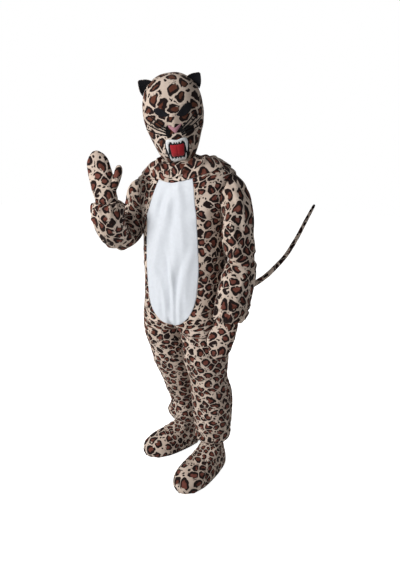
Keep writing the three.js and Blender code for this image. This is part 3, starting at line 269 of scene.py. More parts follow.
# %% Normals and flat places
def grid_normals(points, inside, loop):
    """Outward unit normals of a grid of points."""
    if loop:
        across = np.roll(points, -1, 1) - np.roll(points, 1, 1)
    else:
        across = np.gradient(points, axis=1)
    along = np.gradient(points, axis=0)
    normal = np.cross(along, across)
    length = np.linalg.norm(normal, axis=-1, keepdims=True)
    out = points - inside
    out = out / np.maximum(np.linalg.norm(out, axis=-1, keepdims=True), 1e-9)
    normal = normal / np.maximum(length, 1e-12)
    sign = np.sign(np.sum(normal * out))
    normal = np.where(length > 1e-12, normal * (sign if sign else 1), out)
    if loop and np.ptp(points[0], axis=0).max() < 1e-9:
        pole = normal[1].mean(axis=0)
        normal[0] = pole / np.linalg.norm(pole)
    return normal


def flat_places(points, loop):
    """Where each point of a grid lies on the flat cloth: across from the middle column, and along."""
    closed = np.concatenate([points, points[:, :1]], 1) if loop else points
    across = np.linalg.norm(np.diff(closed, axis=1), axis=-1)
    u = np.concatenate([np.zeros((len(points), 1)), np.cumsum(across, 1)], 1)
    u = u - u[:, [u.shape[1] // 2]]
    along = np.linalg.norm(np.diff(closed, axis=0), axis=-1).mean(1)
    v = np.concatenate([[0], np.cumsum(along)])[:, None] * np.ones((1, u.shape[1]))
    return u, v


def length_of(path):
    return float(np.linalg.norm(np.diff(path, axis=0), axis=1).sum())


strip = np.stack(np.meshgrid([0, 0.01, 0.02], [0, 0.05], [0.0]), -1)[:, :, 0]
print("a strip 20 mm wide lies from", *(round(float(v), 3) for v in flat_places(strip, False)[0][0, [0, 2]]))

# %% [markdown]
# Creases and slack. A crease in soft cloth is a ridge with a shallow trough beside it, and cloth between
# creases is never quite flat. Both are heights over the flat cloth, added along the normal.

# %% Creases and slack
TROUGH_SHARE, TROUGH_AWAY = 0.45, 1.7


def crease(u, v, rows):
    """Height of listed creases. Each row: place u v, its way in degrees, half length, breadth, height,
    bend. A crease is a soft ridge with a shallow trough beside it; a negative height turns it over."""
    total = np.zeros_like(u)
    for cu, cv, way, long, broad, high, bend in rows:
        c, s = math.cos(math.radians(way)), math.sin(math.radians(way))
        along = ((u - cu) * c + (v - cv) * s) / long
        across = ((v - cv) * c - (u - cu) * s - bend * along ** 2) / broad
        profile = np.exp(-across ** 2) - TROUGH_SHARE * np.exp(-(across - TROUGH_AWAY) ** 2)
        total += high * profile * np.exp(-along ** 4)
    return total


def slack(u, v, seed, size, high):
    """Gentle unevenness of soft cloth: a few long waves that cross one another."""
    rng = np.random.default_rng(seed)
    total = np.zeros_like(u)
    for _ in range(9):
        way, phase = rng.uniform(0, np.pi), rng.uniform(0, 6.28)
        wave = size * rng.uniform(0.6, 1.6)
        total += np.sin((u * np.cos(way) + v * np.sin(way)) * 6.28 / wave + phase)
    return total * high / 4


origin = np.zeros(1)
print("a crease of 5 rises", round(float(crease(origin, origin, [(0, 0, 0, 1, 1, 5, 0)])[0]), 2))

# %% [markdown]
# The shell is the grid, a second grid one thickness in, and a rim between them, so it is closed and has the
# real wall. At its seams the outer grid rolls in a little, as an edge does where it is sewn under.

# %% Shells of cloth
TURNED_OVER = [0, 3, 2, 1]
pieces = []


def soften(mesh):
    mesh.polygons.foreach_set("use_smooth", [True] * len(mesh.polygons))


def mesh_piece(name, vertices, faces, face_uv, material):
    mesh = bpy.data.meshes.new(name)
    mesh.from_pydata([tuple(p) for p in vertices], [], faces)
    layer = mesh.uv_layers.new(name="cloth")
    layer.data.foreach_set("uv", np.asarray(face_uv, np.float32).ravel())
    mesh.materials.append(material)
    welded = bmesh.new()
    welded.from_mesh(mesh)
    bmesh.ops.remove_doubles(welded, verts=welded.verts, dist=1e-6)
    welded.to_mesh(mesh)
    welded.free()
    soften(mesh)
    piece = stand(name, mesh)
    pieces.append(piece)
    return piece


def crown_at(rows, columns, loop, crown):
    """How far a piece's edge rolls in at its seams. crown is that depth, or a depth for every point."""
    if np.ndim(crown):
        return crown
    edge = 1 - np.abs(np.linspace(-1, 1, rows))[:, None] ** 24
    if not loop:
        edge = edge * (1 - np.abs(np.linspace(-1, 1, columns))[None] ** 14)
    return crown * (1 - edge)


print("an edge rolls in at its ends:", [round(float(v), 2) for v in crown_at(5, 1, True, 1.0)[:, 0]])

# %% [markdown]
# Outer and inner grid share their numbering, so the inner one is the outer one turned over, and the rim
# joins their borders. The piece also keeps the size it is cut to.

# %% A shell from a grid
def shell(name, points, inside, material, thick, loop=False, lift=0.0, flat=None, bumps=None, crown=0.0):
    """A closed shell of cloth. points and inside are metres, thick and lift too."""
    u, v = flat_places(points, loop) if flat is None else flat
    rows, columns = points.shape[:2]
    normal = grid_normals(points, inside, loop)
    outer = points + normal * lift
    if bumps is not None:
        outer = outer + normal * bumps[:, :columns, None]
        normal = grid_normals(outer, inside, loop)
    inner = outer - normal * thick
    drop = np.zeros((rows, columns)) + crown_at(rows, columns, loop, crown)
    outer = outer - normal * drop[..., None]
    count, span = rows * columns, columns if loop else columns - 1
    i, j = np.meshgrid(np.arange(rows - 1), np.arange(span), indexing="ij")
    corners = [(i, j), (i + 1, j), (i + 1, j + 1), (i, j + 1)]
    front = np.stack([p * columns + q % columns for p, q in corners], -1)
    uv = np.stack([np.stack([u[p, q], v[p, q]], -1) for p, q in corners], 2)
    faces = [*front.reshape(-1, 4).tolist(), *(front[..., TURNED_OVER] + count).reshape(-1, 4).tolist()]
    face_uv = [uv.reshape(-1, 2), uv[:, :, TURNED_OVER].reshape(-1, 2)]

    def rim(first, second, place_first, place_second):
        for p, q, up, uq in zip(first, second, place_first, place_second):
            faces.append([int(p), int(q), int(q) + count, int(p) + count])
            face_uv.append(np.array([up, uq, uq, up]))
    here, beside = np.arange(span), (np.arange(span) + 1) % columns
    below, last = np.arange(rows - 1), (rows - 1) * columns
    flat_uv = np.stack([u, v], -1)
    rim(here, beside, flat_uv[0, here], flat_uv[0, here + 1])
    rim(last + beside, last + here, flat_uv[-1, here + 1], flat_uv[-1, here])
    if not loop:
        rim((below + 1) * columns, below * columns, flat_uv[below + 1, 0], flat_uv[below, 0])
        rim(below * columns + columns - 1, (below + 1) * columns + columns - 1,
            flat_uv[below, -1], flat_uv[below + 1, -1])
    front = front.reshape(-1, 4)
    corner = outer.reshape(-1, 3)[front]
    turned = np.cross(corner[:, 1] - corner[:, 0], corner[:, 2] - corner[:, 0])
    uv_all = np.concatenate(face_uv)
    if np.sum(turned * normal.reshape(-1, 3)[front[:, 0]]) < 0:
        faces = [f[::-1] for f in faces]
        uv_all = uv_all.reshape(-1, 4, 2)[:, ::-1].reshape(-1, 2)
    vertices = np.concatenate([outer.reshape(-1, 3), inner.reshape(-1, 3)])
    piece = mesh_piece(name, vertices, faces, uv_all, material)
    du, dv = np.diff(u, axis=1)[:-1], np.diff(v, axis=1)[:-1]
    rise_u, rise_v = (np.diff(w, axis=0)[:, :du.shape[1]] for w in (u, v))
    cells = np.abs(du * rise_v - dv * rise_u)
    piece["cut"] = [float(np.ptp(u)), float(np.ptp(v)), float(cells.sum())]
    return piece


def say(piece):
    print(piece.name, "cut", [round(v, 3) for v in piece["cut"]], "faces", len(piece.data.polygons))


print("pieces so far:", len(pieces))

# %% [markdown]
# The print. Leopard cloth is a pale ground with rosettes: a warm brown middle inside a ragged near-black
# ring that is often open on one side, and small solid spots between them. Cells scattered on the flat cloth
# give one rosette each; noise frays their edges, so no two are the same, as on roller-printed plush.

# %% Node kit
class Finish:
    """A material with one principled surface and short ways to add its nodes."""

    def __init__(self, name):
        self.material = bpy.data.materials.new(name)
        self.material.use_nodes = True
        self.tree = self.material.node_tree
        self.tree.nodes.clear()
        self.surface = self.add("BsdfPrincipled")
        self.tree.links.new(self.surface.outputs[0], self.add("OutputMaterial").inputs[0])
        self.cloth = self.add("UVMap", uv_map="cloth").outputs[0]
        self.object = self.add("TexCoord").outputs["Object"]

    def add(self, kind, **settings):
        node = self.tree.nodes.new("ShaderNode" + kind)
        for name, value in settings.items():
            setattr(node, name, value)
        return node

    def feed(self, socket, value):
        if isinstance(value, bpy.types.NodeSocket):
            self.tree.links.new(value, socket)
        else:
            socket.default_value = value

    def set(self, **values):
        for name, value in values.items():
            self.feed(self.surface.inputs[name.replace("_", " ")], value)

    def math(self, operation, *values):
        node = self.add("Math", operation=operation)
        for socket, value in zip(node.inputs, values):
            self.feed(socket, value)
        return node.outputs[0]

    def vector(self, operation, a, b):
        node = self.add("VectorMath", operation=operation)
        self.feed(node.inputs[0], a)
        self.feed(node.inputs[3 if operation == "SCALE" else 1], b)
        return node.outputs[0]

    def step(self, value, low, high):
        node = self.add("MapRange", interpolation_type="SMOOTHSTEP")
        for name, given in (("Value", value), ("From Min", low), ("From Max", high)):
            self.feed(node.inputs[name], given)
        return node.outputs["Result"]

    def mix(self, share, a, b):
        node = self.add("Mix", data_type="RGBA")
        for k, given in ((0, share), (6, a), (7, b)):
            self.feed(node.inputs[k], given)
        return node.outputs[2]

    def noise(self, place, scale, detail=2.0, output="Fac"):
        node = self.add("TexNoise")
        for name, given in (("Vector", place), ("Scale", scale), ("Detail", detail)):
            self.feed(node.inputs[name], given)
        return node.outputs[output]

    def cells(self, place, scale, feature, flat, random=1.0):
        node = self.add("TexVoronoi", voronoi_dimensions="2D" if flat else "3D", feature=feature)
        for name, given in (("Vector", place), ("Scale", scale), ("Randomness", random)):
            self.feed(node.inputs[name], given)
        return node.outputs

    def bump(self, height, strength, distance, below=None):
        node = self.add("Bump")
        for name, given in (("Height", height), ("Strength", strength), ("Distance", distance)):
            self.feed(node.inputs[name], given)
        if below is not None:
            self.feed(node.inputs["Normal"], below)
        return node.outputs[0]


print("node kit:", [name for name in vars(Finish) if not name.startswith("_")])

# %% [markdown]
# One rosette. A cell gives the distance from its middle and the distance to its edge, and the smaller of the
# two, smoothed, is how deep a point lies in the spot. A shallow depth is the black ring, a greater one the
# brown heart. The direction round the middle opens the ring on one side and makes the spot lobed. Specks of
# a finer set of cells fill the ground between.

# %% Leopard print
GROUND = (0.63, 0.52, 0.44, 1)
GROUND_SHADE = (0.50, 0.40, 0.33, 1)
BROWN = (0.160, 0.054, 0.041, 1)
BROWN_DARK = (0.105, 0.032, 0.020, 1)
RING_BLACK = (0.014, 0.0082, 0.0080, 1)


PRINT_TILT = 0.55
CELL_SCATTER, CELL_SMOOTH = 0.76, 0.30
PILE_SCALE, NAP_SCALE = 900.0, 160.0


def leopard(name, pitch, flat=True, shift=(0, 0, 0), ring=0.215, gap=0.020, brown=BROWN):
    """Printed plush. pitch is the distance between rosettes in metres."""
    f = Finish(name)
    m, vector, step, mix, noise, cells = f.math, f.vector, f.step, f.mix, f.noise, f.cells
    tilted = f.add("VectorRotate")
    tilted.inputs["Angle"].default_value = PRINT_TILT
    f.feed(tilted.inputs["Vector"], f.cloth if flat else f.object)
    place = vector("ADD", tilted.outputs[0], shift)
    warped = place
    for scale, detail, share in ((0.7, 0.0, 0.60), (2.6, 1.0, 0.30)):
        push = vector("SUBTRACT", noise(place, scale / pitch, detail, "Color"), (0.5, 0.5, 0.5))
        warped = vector("ADD", warped, vector("SCALE", push, pitch * share))
    near = cells(warped, 1 / pitch, "F1", flat, CELL_SCATTER)
    border = cells(warped, 1 / pitch, "DISTANCE_TO_EDGE", flat, CELL_SCATTER)["Distance"]
    chance, split = f.add("SeparateColor"), f.add("SeparateXYZ")
    f.feed(chance.inputs[0], near["Color"])
    f.feed(split.inputs[0], vector("SUBTRACT", warped, near["Position"]))
    turn = m("ARCTAN2", split.outputs[1], split.outputs[0])
    phase = m("MULTIPLY", chance.outputs[2], 6.283)
    lobe = m("COSINE", m("MULTIPLY_ADD", turn, 3.0, phase))
    facing = m("COSINE", m("ADD", turn, m("MULTIPLY", phase, 2.7)))
    radius = m("MULTIPLY_ADD", chance.outputs[0], 0.12, 0.47 if flat else 0.52)
    radius = m("MULTIPLY_ADD", lobe, 0.045, radius)
    inside = m("SUBTRACT", radius, near["Distance"])
    depth = m("SMOOTH_MIN", inside, m("SUBTRACT", border, gap), CELL_SMOOTH)
    fray = noise(place, 2.2 / pitch, 1.0)
    spot = step(depth, -0.018, 0.024)
    width = m("MULTIPLY_ADD", fray, 0.20, ring - 0.10)
    width = m("MULTIPLY_ADD", facing, -0.035, width)
    middle = step(m("SUBTRACT", depth, width), -0.016, 0.030)
    middle = m("MULTIPLY", middle, step(chance.outputs[1], 0.10, 0.12))
    cleft = m("MULTIPLY", step(facing, 0.74, 0.90), m("SUBTRACT", 1.0, middle))
    spot = m("MULTIPLY", spot, m("SUBTRACT", 1.0, m("MULTIPLY", cleft, step(fray, 0.46, 0.52))))
    specks = step(cells(warped, 2.1 / pitch, "F1", flat)["Distance"], 0.30, 0.24)
    specks = m("MULTIPLY", specks, step(m("MULTIPLY", depth, -1.0), 0.09, 0.12))
    ground = mix(step(noise(place, 0.35 / pitch, 2.0), 0.35, 0.7), GROUND, GROUND_SHADE)
    heart = mix(step(fray, 0.35, 0.62), brown, BROWN_DARK)
    colour = mix(m("MAXIMUM", spot, specks), ground, mix(m("MULTIPLY", middle, spot), RING_BLACK, heart))
    pile = noise(place, PILE_SCALE, 2.0)
    nap = f.bump(noise(place, NAP_SCALE, 3.0), 0.35, 0.0012)
    f.set(Base_Color=vector("SCALE", colour, m("MULTIPLY_ADD", pile, 0.5, 0.76)),
          Normal=f.bump(pile, 0.5, 0.0007, nap), Roughness=0.92, Specular_IOR_Level=0.08,
          Sheen_Weight=0.05, Sheen_Roughness=0.5, Sheen_Tint=(1.0, 0.82, 0.70, 1))
    return f.material


print("ground", GROUND[:3], "brown", BROWN[:3], "black", RING_BLACK[:3])

# %% [markdown]
# Each garment comes off its own bolt, so the print's size differs a little, and a shift of the pattern keeps
# the spots from matching across a seam. The tail is a tube with no flat cloth, so its print is solid.

# %% Printed plush
BODY = leopard("plush_body", 0.0345)
ARM = leopard("plush_arm", 0.037, shift=(1.3, 2.1, 0))
FACE = leopard("plush_face", 0.044, shift=(1.17, 0.46, 0), ring=0.175, gap=0.055,
               brown=(0.105, 0.042, 0.026, 1))
BIB = leopard("plush_bib", 0.041, shift=(4.4, 1.2, 0), ring=0.19, gap=0.035)
HAND = leopard("plush_hand", 0.038, shift=(5.1, 2.2, 0), ring=0.20, gap=0.035)
BOOT = leopard("plush_boot", 0.031, shift=(6.3, 0.4, 0))
TAIL = leopard("plush_tail", 0.028, flat=False, ring=0.24)
print("printed plush:", [m.name for m in (BODY, ARM, FACE, BIB, HAND, BOOT, TAIL)])

# %% [markdown]
# Unprinted cloth: the knit of the belly, felt and velvet of the face, and the sole's fabric. None of them is
# one flat colour: a mottle shades the cloth, and a fine grain of fibres catches the light.

# %% Plain cloths
def plain(name, colour, roughness, sheen, grain, depth, streak=0.0):
    """Unprinted cloth with a fine grain: felt, velvet or knit."""
    f = Finish(name)
    mottle = f.noise(f.object, grain * 0.12, 3.0)
    shade = tuple(c * 0.80 for c in colour[:3]) + (1,)
    fibres = f.noise(f.vector("MULTIPLY", f.object, (1.0, 1.0, 1.0 - streak)), grain, 3.0)
    f.set(Base_Color=f.mix(f.math("MULTIPLY", mottle, 0.6), colour, shade), Roughness=roughness,
          Specular_IOR_Level=0.22, Sheen_Weight=sheen, Sheen_Roughness=0.4,
          Normal=f.bump(fibres, 0.6, depth))
    return f.material


WHITE = plain("belly_knit", (0.66, 0.695, 0.745, 1), 0.5, 0.1, 700.0, 0.0002, 0.6)
BLACK = plain("black_felt_cloth", (0.008, 0.008, 0.011, 1), 0.95, 0.04, 1400.0, 0.0003)
PINK = plain("pink_felt_cloth", (0.42, 0.20, 0.245, 1), 0.9, 0.2, 1400.0, 0.0003)
RED = plain("red_velvet", (0.36, 0.010, 0.018, 1), 0.8, 0.4, 1200.0, 0.0003)
TOOTH = plain("white_felt_cloth", (0.72, 0.74, 0.75, 1), 0.85, 0.2, 1400.0, 0.0003)
STRAND = plain("whisker_strand", (0.004, 0.004, 0.005, 1), 0.9, 0.0, 600.0, 0.0001)
SOLE = plain("sole_fabric", (0.02, 0.02, 0.022, 1), 0.9, 0.1, 500.0, 0.0004)
print("materials:", len(bpy.data.materials))

# %% [markdown]
# The jumpsuit: two fronts and two backs, each cut in one from shoulder to ankle, the white belly panel let
# in between the fronts, and a plain closing strip down the back. Rows crowd together at the armhole, the
# crotch and the belly's round tip, where the edge turns fastest.

# %% Rows of the jumpsuit
PLUSH, KNIT, FELT, SEAM = 2.6, 1.6, 1.8, 0.3
EDGE_ROLL = 0.0009
ARMHOLE_BOTTOM, ARMHOLE_TOP, ARMHOLE_REACH = 1185.0, 1345.0, 60.0
armhole_middle, armhole_half = (ARMHOLE_TOP + ARMHOLE_BOTTOM) / 2, (ARMHOLE_TOP - ARMHOLE_BOTTOM) / 2
SCOOP_FROM, SCOOP_FRONT, SCOOP_BACK = 1285.0, 50.0, 12.0
TRUNK_STEP, LEG_STEP, ABOVE_TIP, STRIP_FOOT = 6.2, 5.6, 783, 935
TIP_ROWS = BELLY_TIP + np.array([0.3, 1, 2.4, 4.6, 7.6, 11.5, 16.5, 22.5])
CROTCH_ROWS = CROTCH + np.array([0, 0.7, 1.8, 3.6, 6.2, 9.5, 14, 19, 25])
ARM_ROWS = armhole_middle + armhole_half * np.sin(np.radians(np.arange(-90, 91, 7.5)))
TOP_ROWS = np.array([1351, 1357, 1363, 1369, 1375, 1381, 1386.5, NECKLINE])
TRUNK_ROWS = np.concatenate([TIP_ROWS, np.arange(ABOVE_TIP, 1180, TRUNK_STEP), ARM_ROWS, TOP_ROWS])


def metres(points):
    return (points - np.array([0, 0, SHOULDER_HEIGHT])) * MM


def scooped(z, angle):
    dip = np.where(angle < 0, SCOOP_FRONT, SCOOP_BACK)
    return z - dip * np.abs(np.sin(angle)) ** 3 * soft((z - SCOOP_FROM) / (NECKLINE - SCOOP_FROM))


def laid(points, loop, rows, seed, size=0.16, high=0.0012):
    """Flat places of a grid and the creases on it, which die out towards the seams."""
    u, v = flat_places(points, loop)
    reach = np.maximum(np.abs(u).max(1, keepdims=True), 1e-6)
    tall = v.max()
    fade = (1 - np.clip(np.abs(u) / reach, 0, 1) ** 8) * (1 - np.abs(2 * v / tall - 1) ** 16)
    return (u, v), (crease(u / MM, v / MM, rows) * MM + slack(u, v, seed, size, high)) * fade


print("rows of the trunk:", len(TRUNK_ROWS), "and of each armhole:", len(ARM_ROWS))

# %% [markdown]
# Each panel runs from its side seam to the centre line, out to the white panel in front. At the armhole its
# side edge follows an oval, and at the ankle the cloth gathers where the elastic draws it in.

# %% Jumpsuit panels
def belly_edge(z, side):
    """Half width of the white panel; the raised arm draws its right edge inwards."""
    return belly_half(z) * np.where(side > 0, 1, 1 - 0.38 * soft((z - 1180) / 170))


PANEL_COLUMNS = 45
ANKLE_GATHER, ANKLE_REACH = 0.0022, 16


def suit_panel(name, half, bottom, face):
    z = np.concatenate([np.arange(bottom, CROTCH - 2, LEG_STEP), CROTCH_ROWS, TRUNK_ROWS])[:, None]
    share = (z - armhole_middle) / armhole_half
    at_arm = ARMHOLE_REACH * np.sqrt(np.clip(1 - share ** 2, 0, 1))
    start = np.where(np.abs(share) < 1, half.towards_y(z, at_arm, face), 0.0)
    centre = half.towards_x(z, 0.0, face)
    if face < 0:
        centre = np.where(z > BELLY_TIP, half.towards_x(z, belly_edge(z, half.side), face), centre)
    end = np.where(z <= CROTCH, face * np.pi, centre)
    angle = start + (end - start) * np.linspace(0, 1, PANEL_COLUMNS)[None]
    height = scooped(z, angle)
    points = metres(half.at(height, angle))
    inside = metres(np.stack([half.side * half.cx(height), half.cy(height), height], -1))
    flat, bumps = laid(points, False, [], 11 + len(name) + (face > 0))
    gather = np.exp(-(z - bottom) / ANKLE_REACH) * ANKLE_GATHER * np.cos(angle * 13 + 2 * np.sin(angle * 3))
    return shell(name, points, inside, BODY, PLUSH * MM, flat=flat, bumps=bumps + gather, crown=EDGE_ROLL)


for where, face in (("front", -1), ("back", 1)):
    for word, half, bottom in (("left", left_half, 162.0), ("right", right_half, 140.0)):
        say(suit_panel(f"suit_{where}_{word}", half, bottom, face))

# %% [markdown]
# The belly panel is smooth knit, with soft folds that hang from the chest and gather low. It and the back's
# closing strip span the middle, so each side of them lies on its own half of the form.

# %% Belly panel
def on_both_halves(height, angle, across):
    left, right = (half.at(height, angle) for half in (left_form, right_form))
    return metres(np.where((across < 0)[..., None], right, left))


def core_of(height):
    return metres(np.stack([0 * height, 0 * height, height], -1))


BELLY_CREASES = [
    (18, 140, 92, 170, 10, 8.5, 12), (46, 150, 86, 130, 12, 7, -10), (-22, 120, 97, 110, 12, 6.5, 10),
    (-58, 205, 101, 110, 13, 4.5, 12), (74, 240, 82, 110, 14, 4.5, -10), (26, 330, 86, 120, 17, 6, 10),
    (-40, 400, 74, 170, 20, 7, -14), (50, 440, 99, 140, 18, 5.5, 12), (-6, 510, 92, 110, 20, 5.5, 6),
    (-46, 540, 74, 80, 16, 5.5, 0), (40, 560, 106, 70, 15, 4.5, 0), (2, 50, 94, 45, 8, 5, 0)]
z = np.concatenate([TIP_ROWS, np.arange(ABOVE_TIP, NECKLINE, TRUNK_STEP), [NECKLINE]])[:, None]
share = np.linspace(-1, 1, 65)[None]
across = share * belly_edge(z, share)
angle = left_form.towards_x(z, np.abs(across), -1)
height = scooped(z, angle)
points = on_both_halves(height, angle, across)
flat, bumps = laid(points, False, BELLY_CREASES, 5, 0.24, 0.0018)
say(shell("belly_cloth", points, core_of(height), WHITE, KNIT * MM, flat=flat, bumps=bumps, crown=0.0004))

# %% [markdown]
# The closing strip is a plain lap of the same plush down the centre back, over the fastening. It lies on
# the back panels, one plush higher.

# %% Closing strip
STRIP_HALF, STRIP_WALL = 15, 1.8
z = np.concatenate([np.arange(STRIP_FOOT, NECKLINE, TRUNK_STEP), [NECKLINE]])[:, None]
across = np.linspace(-STRIP_HALF, STRIP_HALF, 13)[None] + 0 * z
height = scooped(z, np.float64(np.pi / 2)) + 0 * across
points = on_both_halves(height, left_form.towards_x(height, np.abs(across), 1), across)
say(shell("closing_strip", points, core_of(height), BODY, STRIP_WALL * MM, lift=PLUSH * MM, crown=0.0007))

# %% [markdown]
# The sleeves grow out of the armholes and are lofted through eleven rings to an elastic cuff. The left arm
# hangs; the right one is bent up to wave, so its cloth bunches at the elbow.

# %% Sleeve form
SLEEVE_STEP = 4.6
RING = "x y z dx dy dz out fore gather"
LEFT_SLEEVE = table(RING, [
    (212, -5, 1240, 0.86, 0, -0.5, 70, 68, 0), (229, -14, 1190, 0.5, -0.1, -0.86, 53, 72, 0),
    (233, -20, 1130, 0.1, -0.05, -1, 54, 76, 0), (239, -15, 1080, 0.1, 0.05, -1, 54, 72, 0),
    (246, -8, 1038, 0.05, 0, -1, 47, 60, 0), (247, -15, 1006, 0, -0.2, -1, 56, 68, 0),
    (244, -36, 950, 0, -0.3, -1, 61, 75, 0), (240, -58, 880, 0, -0.3, -1, 62, 80, 0),
    (237, -70, 836, 0, -0.15, -1, 62, 78, 1.5), (233, -72, 818, -0.08, 0, -1, 54, 64, 2),
    (231, -74, 814, -0.16, -0.22, -0.96, 44, 44, 0)])
RIGHT_SLEEVE = table(RING, [
    (-211, -4, 1240, -0.86, -0.05, -0.5, 68, 68, 0), (-222, -12, 1192, -0.45, -0.25, -0.86, 49, 66, 0),
    (-231, -32, 1150, -0.2, -0.45, -0.87, 52, 62, 0), (-239, -60, 1108, -0.1, -0.75, -0.65, 57, 56, 0),
    (-243, -100, 1090, 0, -1, 0, 62, 52, 0), (-240, -145, 1105, 0.1, -0.75, 0.65, 62, 54, 0),
    (-232, -182, 1142, 0.15, -0.45, 0.88, 63, 57, 0), (-222, -205, 1186, 0.1, -0.2, 0.97, 66, 60, 0),
    (-214, -216, 1220, 0, -0.1, 1, 66, 60, 1.5), (-212, -219, 1236, 0, 0, 1, 56, 52, 2),
    (-211, -220, 1239, -0.145, -0.13, 0.98, 44, 44, 0)])


print("rings of a sleeve:", len(LEFT_SLEEVE))

# %% [markdown]
# A sleeve's surface runs smoothly through its rings, as a cloth tube pulled over hoops would. The first ring
# is the armhole itself, so the sleeve starts exactly where the body panels end.

# %% Lofting a sleeve
AROUND = 72
ELASTIC_GATHER, HEAD_GATHER = 0.0030, 0.0012


def unit(v):
    return v / np.linalg.norm(v)


def between_rings(rings, a):
    """A smooth surface through rings of points; a runs from ring to ring."""
    rings = np.asarray(rings)
    last = len(rings) - 1
    i = np.clip(np.floor(a).astype(int), 0, last - 1)
    t = (a - i).reshape((-1,) + (1,) * (rings.ndim - 1))
    p1, p2 = rings[i], rings[i + 1]
    before = np.where((i > 0).reshape(t.shape), rings[np.maximum(i - 1, 0)], 2 * p1 - p2)
    after = np.where((i + 2 <= last).reshape(t.shape), rings[np.minimum(i + 2, last)], 2 * p2 - p1)
    m1, m2 = (p2 - before) / 2, (after - p1) / 2
    return (p1 * (2 * t**3 - 3 * t**2 + 1) + m1 * (t**3 - 2 * t**2 + t)
            + p2 * (3 * t**2 - 2 * t**3) + m2 * (t**3 - t**2))


def armhole_edge(half, angle):
    z = armhole_middle + armhole_half * np.sin(angle)
    face = np.where(np.cos(angle) > 0, -1.0, 1.0)
    return half.at(z, half.towards_y(z, ARMHOLE_REACH * np.abs(np.cos(angle)), face))


def sleeve(name, side, half, rows, creases, seed):
    angle = -np.pi / 2 + 2 * np.pi * np.arange(AROUND) / AROUND
    rings, cores = [armhole_edge(half, angle)], []
    for row in rows:
        way = unit(np.array([row["dx"], row["dy"], row["dz"]]))
        out = unit(np.array([side, 0, 0]) - way * way[0] * side)
        fore = np.cross(way, out) * side
        wave = 1 + row["gather"] / row["out"] * np.cos(8 * angle + 0.7 * np.sin(3 * angle))
        centre = np.array([row["x"], row["y"], row["z"]], float)
        rings.append(centre + np.outer(row["fore"] * wave * np.cos(angle), fore)
                     + np.outer(row["out"] * wave * np.sin(angle), out))
        cores.append(centre)
    cores = [rings[0].mean(0), *cores]
    lengths = np.linalg.norm(np.diff(cores, axis=0), axis=1)
    steps = np.maximum(4, lengths / SLEEVE_STEP).astype(int)
    stops = np.concatenate([*(k + np.arange(n) / n for k, n in enumerate(steps)), [len(cores) - 1.0]])
    points = metres(between_rings(rings, stops))
    inside = metres(between_rings(cores, stops))[:, None]
    flat, bumps = laid(points, True, creases, seed, 0.15, 0.0016)
    cuff = np.clip((stops - 7.2) / 2.3, 0, 1) ** 2 * np.clip((11 - stops) / 0.8, 0, 1)
    head = np.clip(1 - stops / 1.6, 0, 1) * np.clip(stops / 0.25, 0, 1)
    turned = np.append(angle, angle[0] + 2 * np.pi)
    small = np.cos(turned * 17 + 2 * np.sin(2 * turned)) + 0.6 * np.cos(turned * 11 + 1.3)
    bumps = bumps + (cuff * ELASTIC_GATHER + head * HEAD_GATHER)[:, None] * small[None]
    return shell(name, points, inside, ARM, PLUSH * MM, loop=True, flat=flat, bumps=bumps, crown=EDGE_ROLL)


print("the left sleeve's line is", round(length_of([(r["x"], r["y"], r["z"]) for r in LEFT_SLEEVE])), "mm")

# %% [markdown]
# Creases lie on the flat sleeve: across from its outer line, along from the armhole. They run down the
# upper arm, cross the inside of the elbow and crowd above the cuff.

# %% Sleeves
LEFT_ARM_CREASES = [
    (-45, 90, 78, 75, 12, 5.7, 6), (0, 110, 86, 90, 13, 5.1, -5), (50, 85, 100, 70, 12, 5.4, -6),
    (85, 120, 104, 60, 10, 4.6, 0), (-90, 130, 74, 70, 11, 4.9, 0), (20, 225, 12, 55, 8, 3.24, 8),
    (-55, 238, -14, 50, 8, 3.42, -6), (60, 252, -8, 50, 8, -2.94, 6), (-10, 270, 5, 60, 9, 3.24, -6),
    (-90, 262, 16, 50, 8, -2.76, 0), (100, 232, 18, 45, 8, 2.94, 0), (30, 345, 74, 70, 12, 4.3, 6),
    (-60, 360, 100, 70, 12, 4.6, -6), (95, 380, 94, 60, 12, 4.1, 0), (-10, 425, 8, 80, 8, 4.9, 8),
    (50, 448, -10, 60, 7, -4.1, 0), (-80, 445, 6, 60, 7, 4.6, 0), (0, 470, -4, 100, 6, 3.5, 4),
    (-40, 418, -12, 50, 6, 4.6, 6), (70, 430, 14, 50, 6, 4.8, 0), (20, 456, 6, 50, 6, 5, -6),
    (120, 452, -8, 50, 6, 4.4, 0), (-120, 440, 8, 50, 6, 4.4, 0)]
RIGHT_ARM_CREASES = [
    (-50, 85, 80, 60, 12, 5.2, 5), (10, 100, 92, 80, 12, 4.7, -5), (65, 90, 104, 60, 11, 4.9, 0),
    (-20, 175, 8, 60, 9, 5.5, 10), (60, 190, -10, 50, 9, -4.9, 8), (-70, 205, 12, 55, 9, 5.7, -6),
    (20, 222, -4, 60, 9, 5.5, 10), (90, 235, 14, 45, 8, 4.9, 0), (-40, 245, -12, 55, 8, -4.9, 0),
    (40, 262, 6, 55, 9, 5.2, 6), (-90, 275, 10, 50, 8, 4.7, 0), (0, 330, 82, 50, 12, 4.2, 0),
    (70, 320, 98, 50, 12, 4.4, 0), (-70, 335, 90, 50, 12, 3.9, 0), (20, 372, 6, 90, 7, 4.4, 6),
    (-60, 388, -8, 70, 7, -3.6, 0)]
for name, side, half, rows, creases, seed in [
    ("arm_left", 1, left_form, LEFT_SLEEVE, LEFT_ARM_CREASES, 21),
    ("arm_right", -1, right_form, RIGHT_SLEEVE, RIGHT_ARM_CREASES, 22)]:
    say(sleeve(name, side, half, rows, creases, seed))

# %% [markdown]
# The hood mask is padded plush over the whole head: a face piece and a back piece that meet in a seam from
# ear to ear. The muzzle swells forward and the eyes are felt, so the head is a tall egg with soft forms.

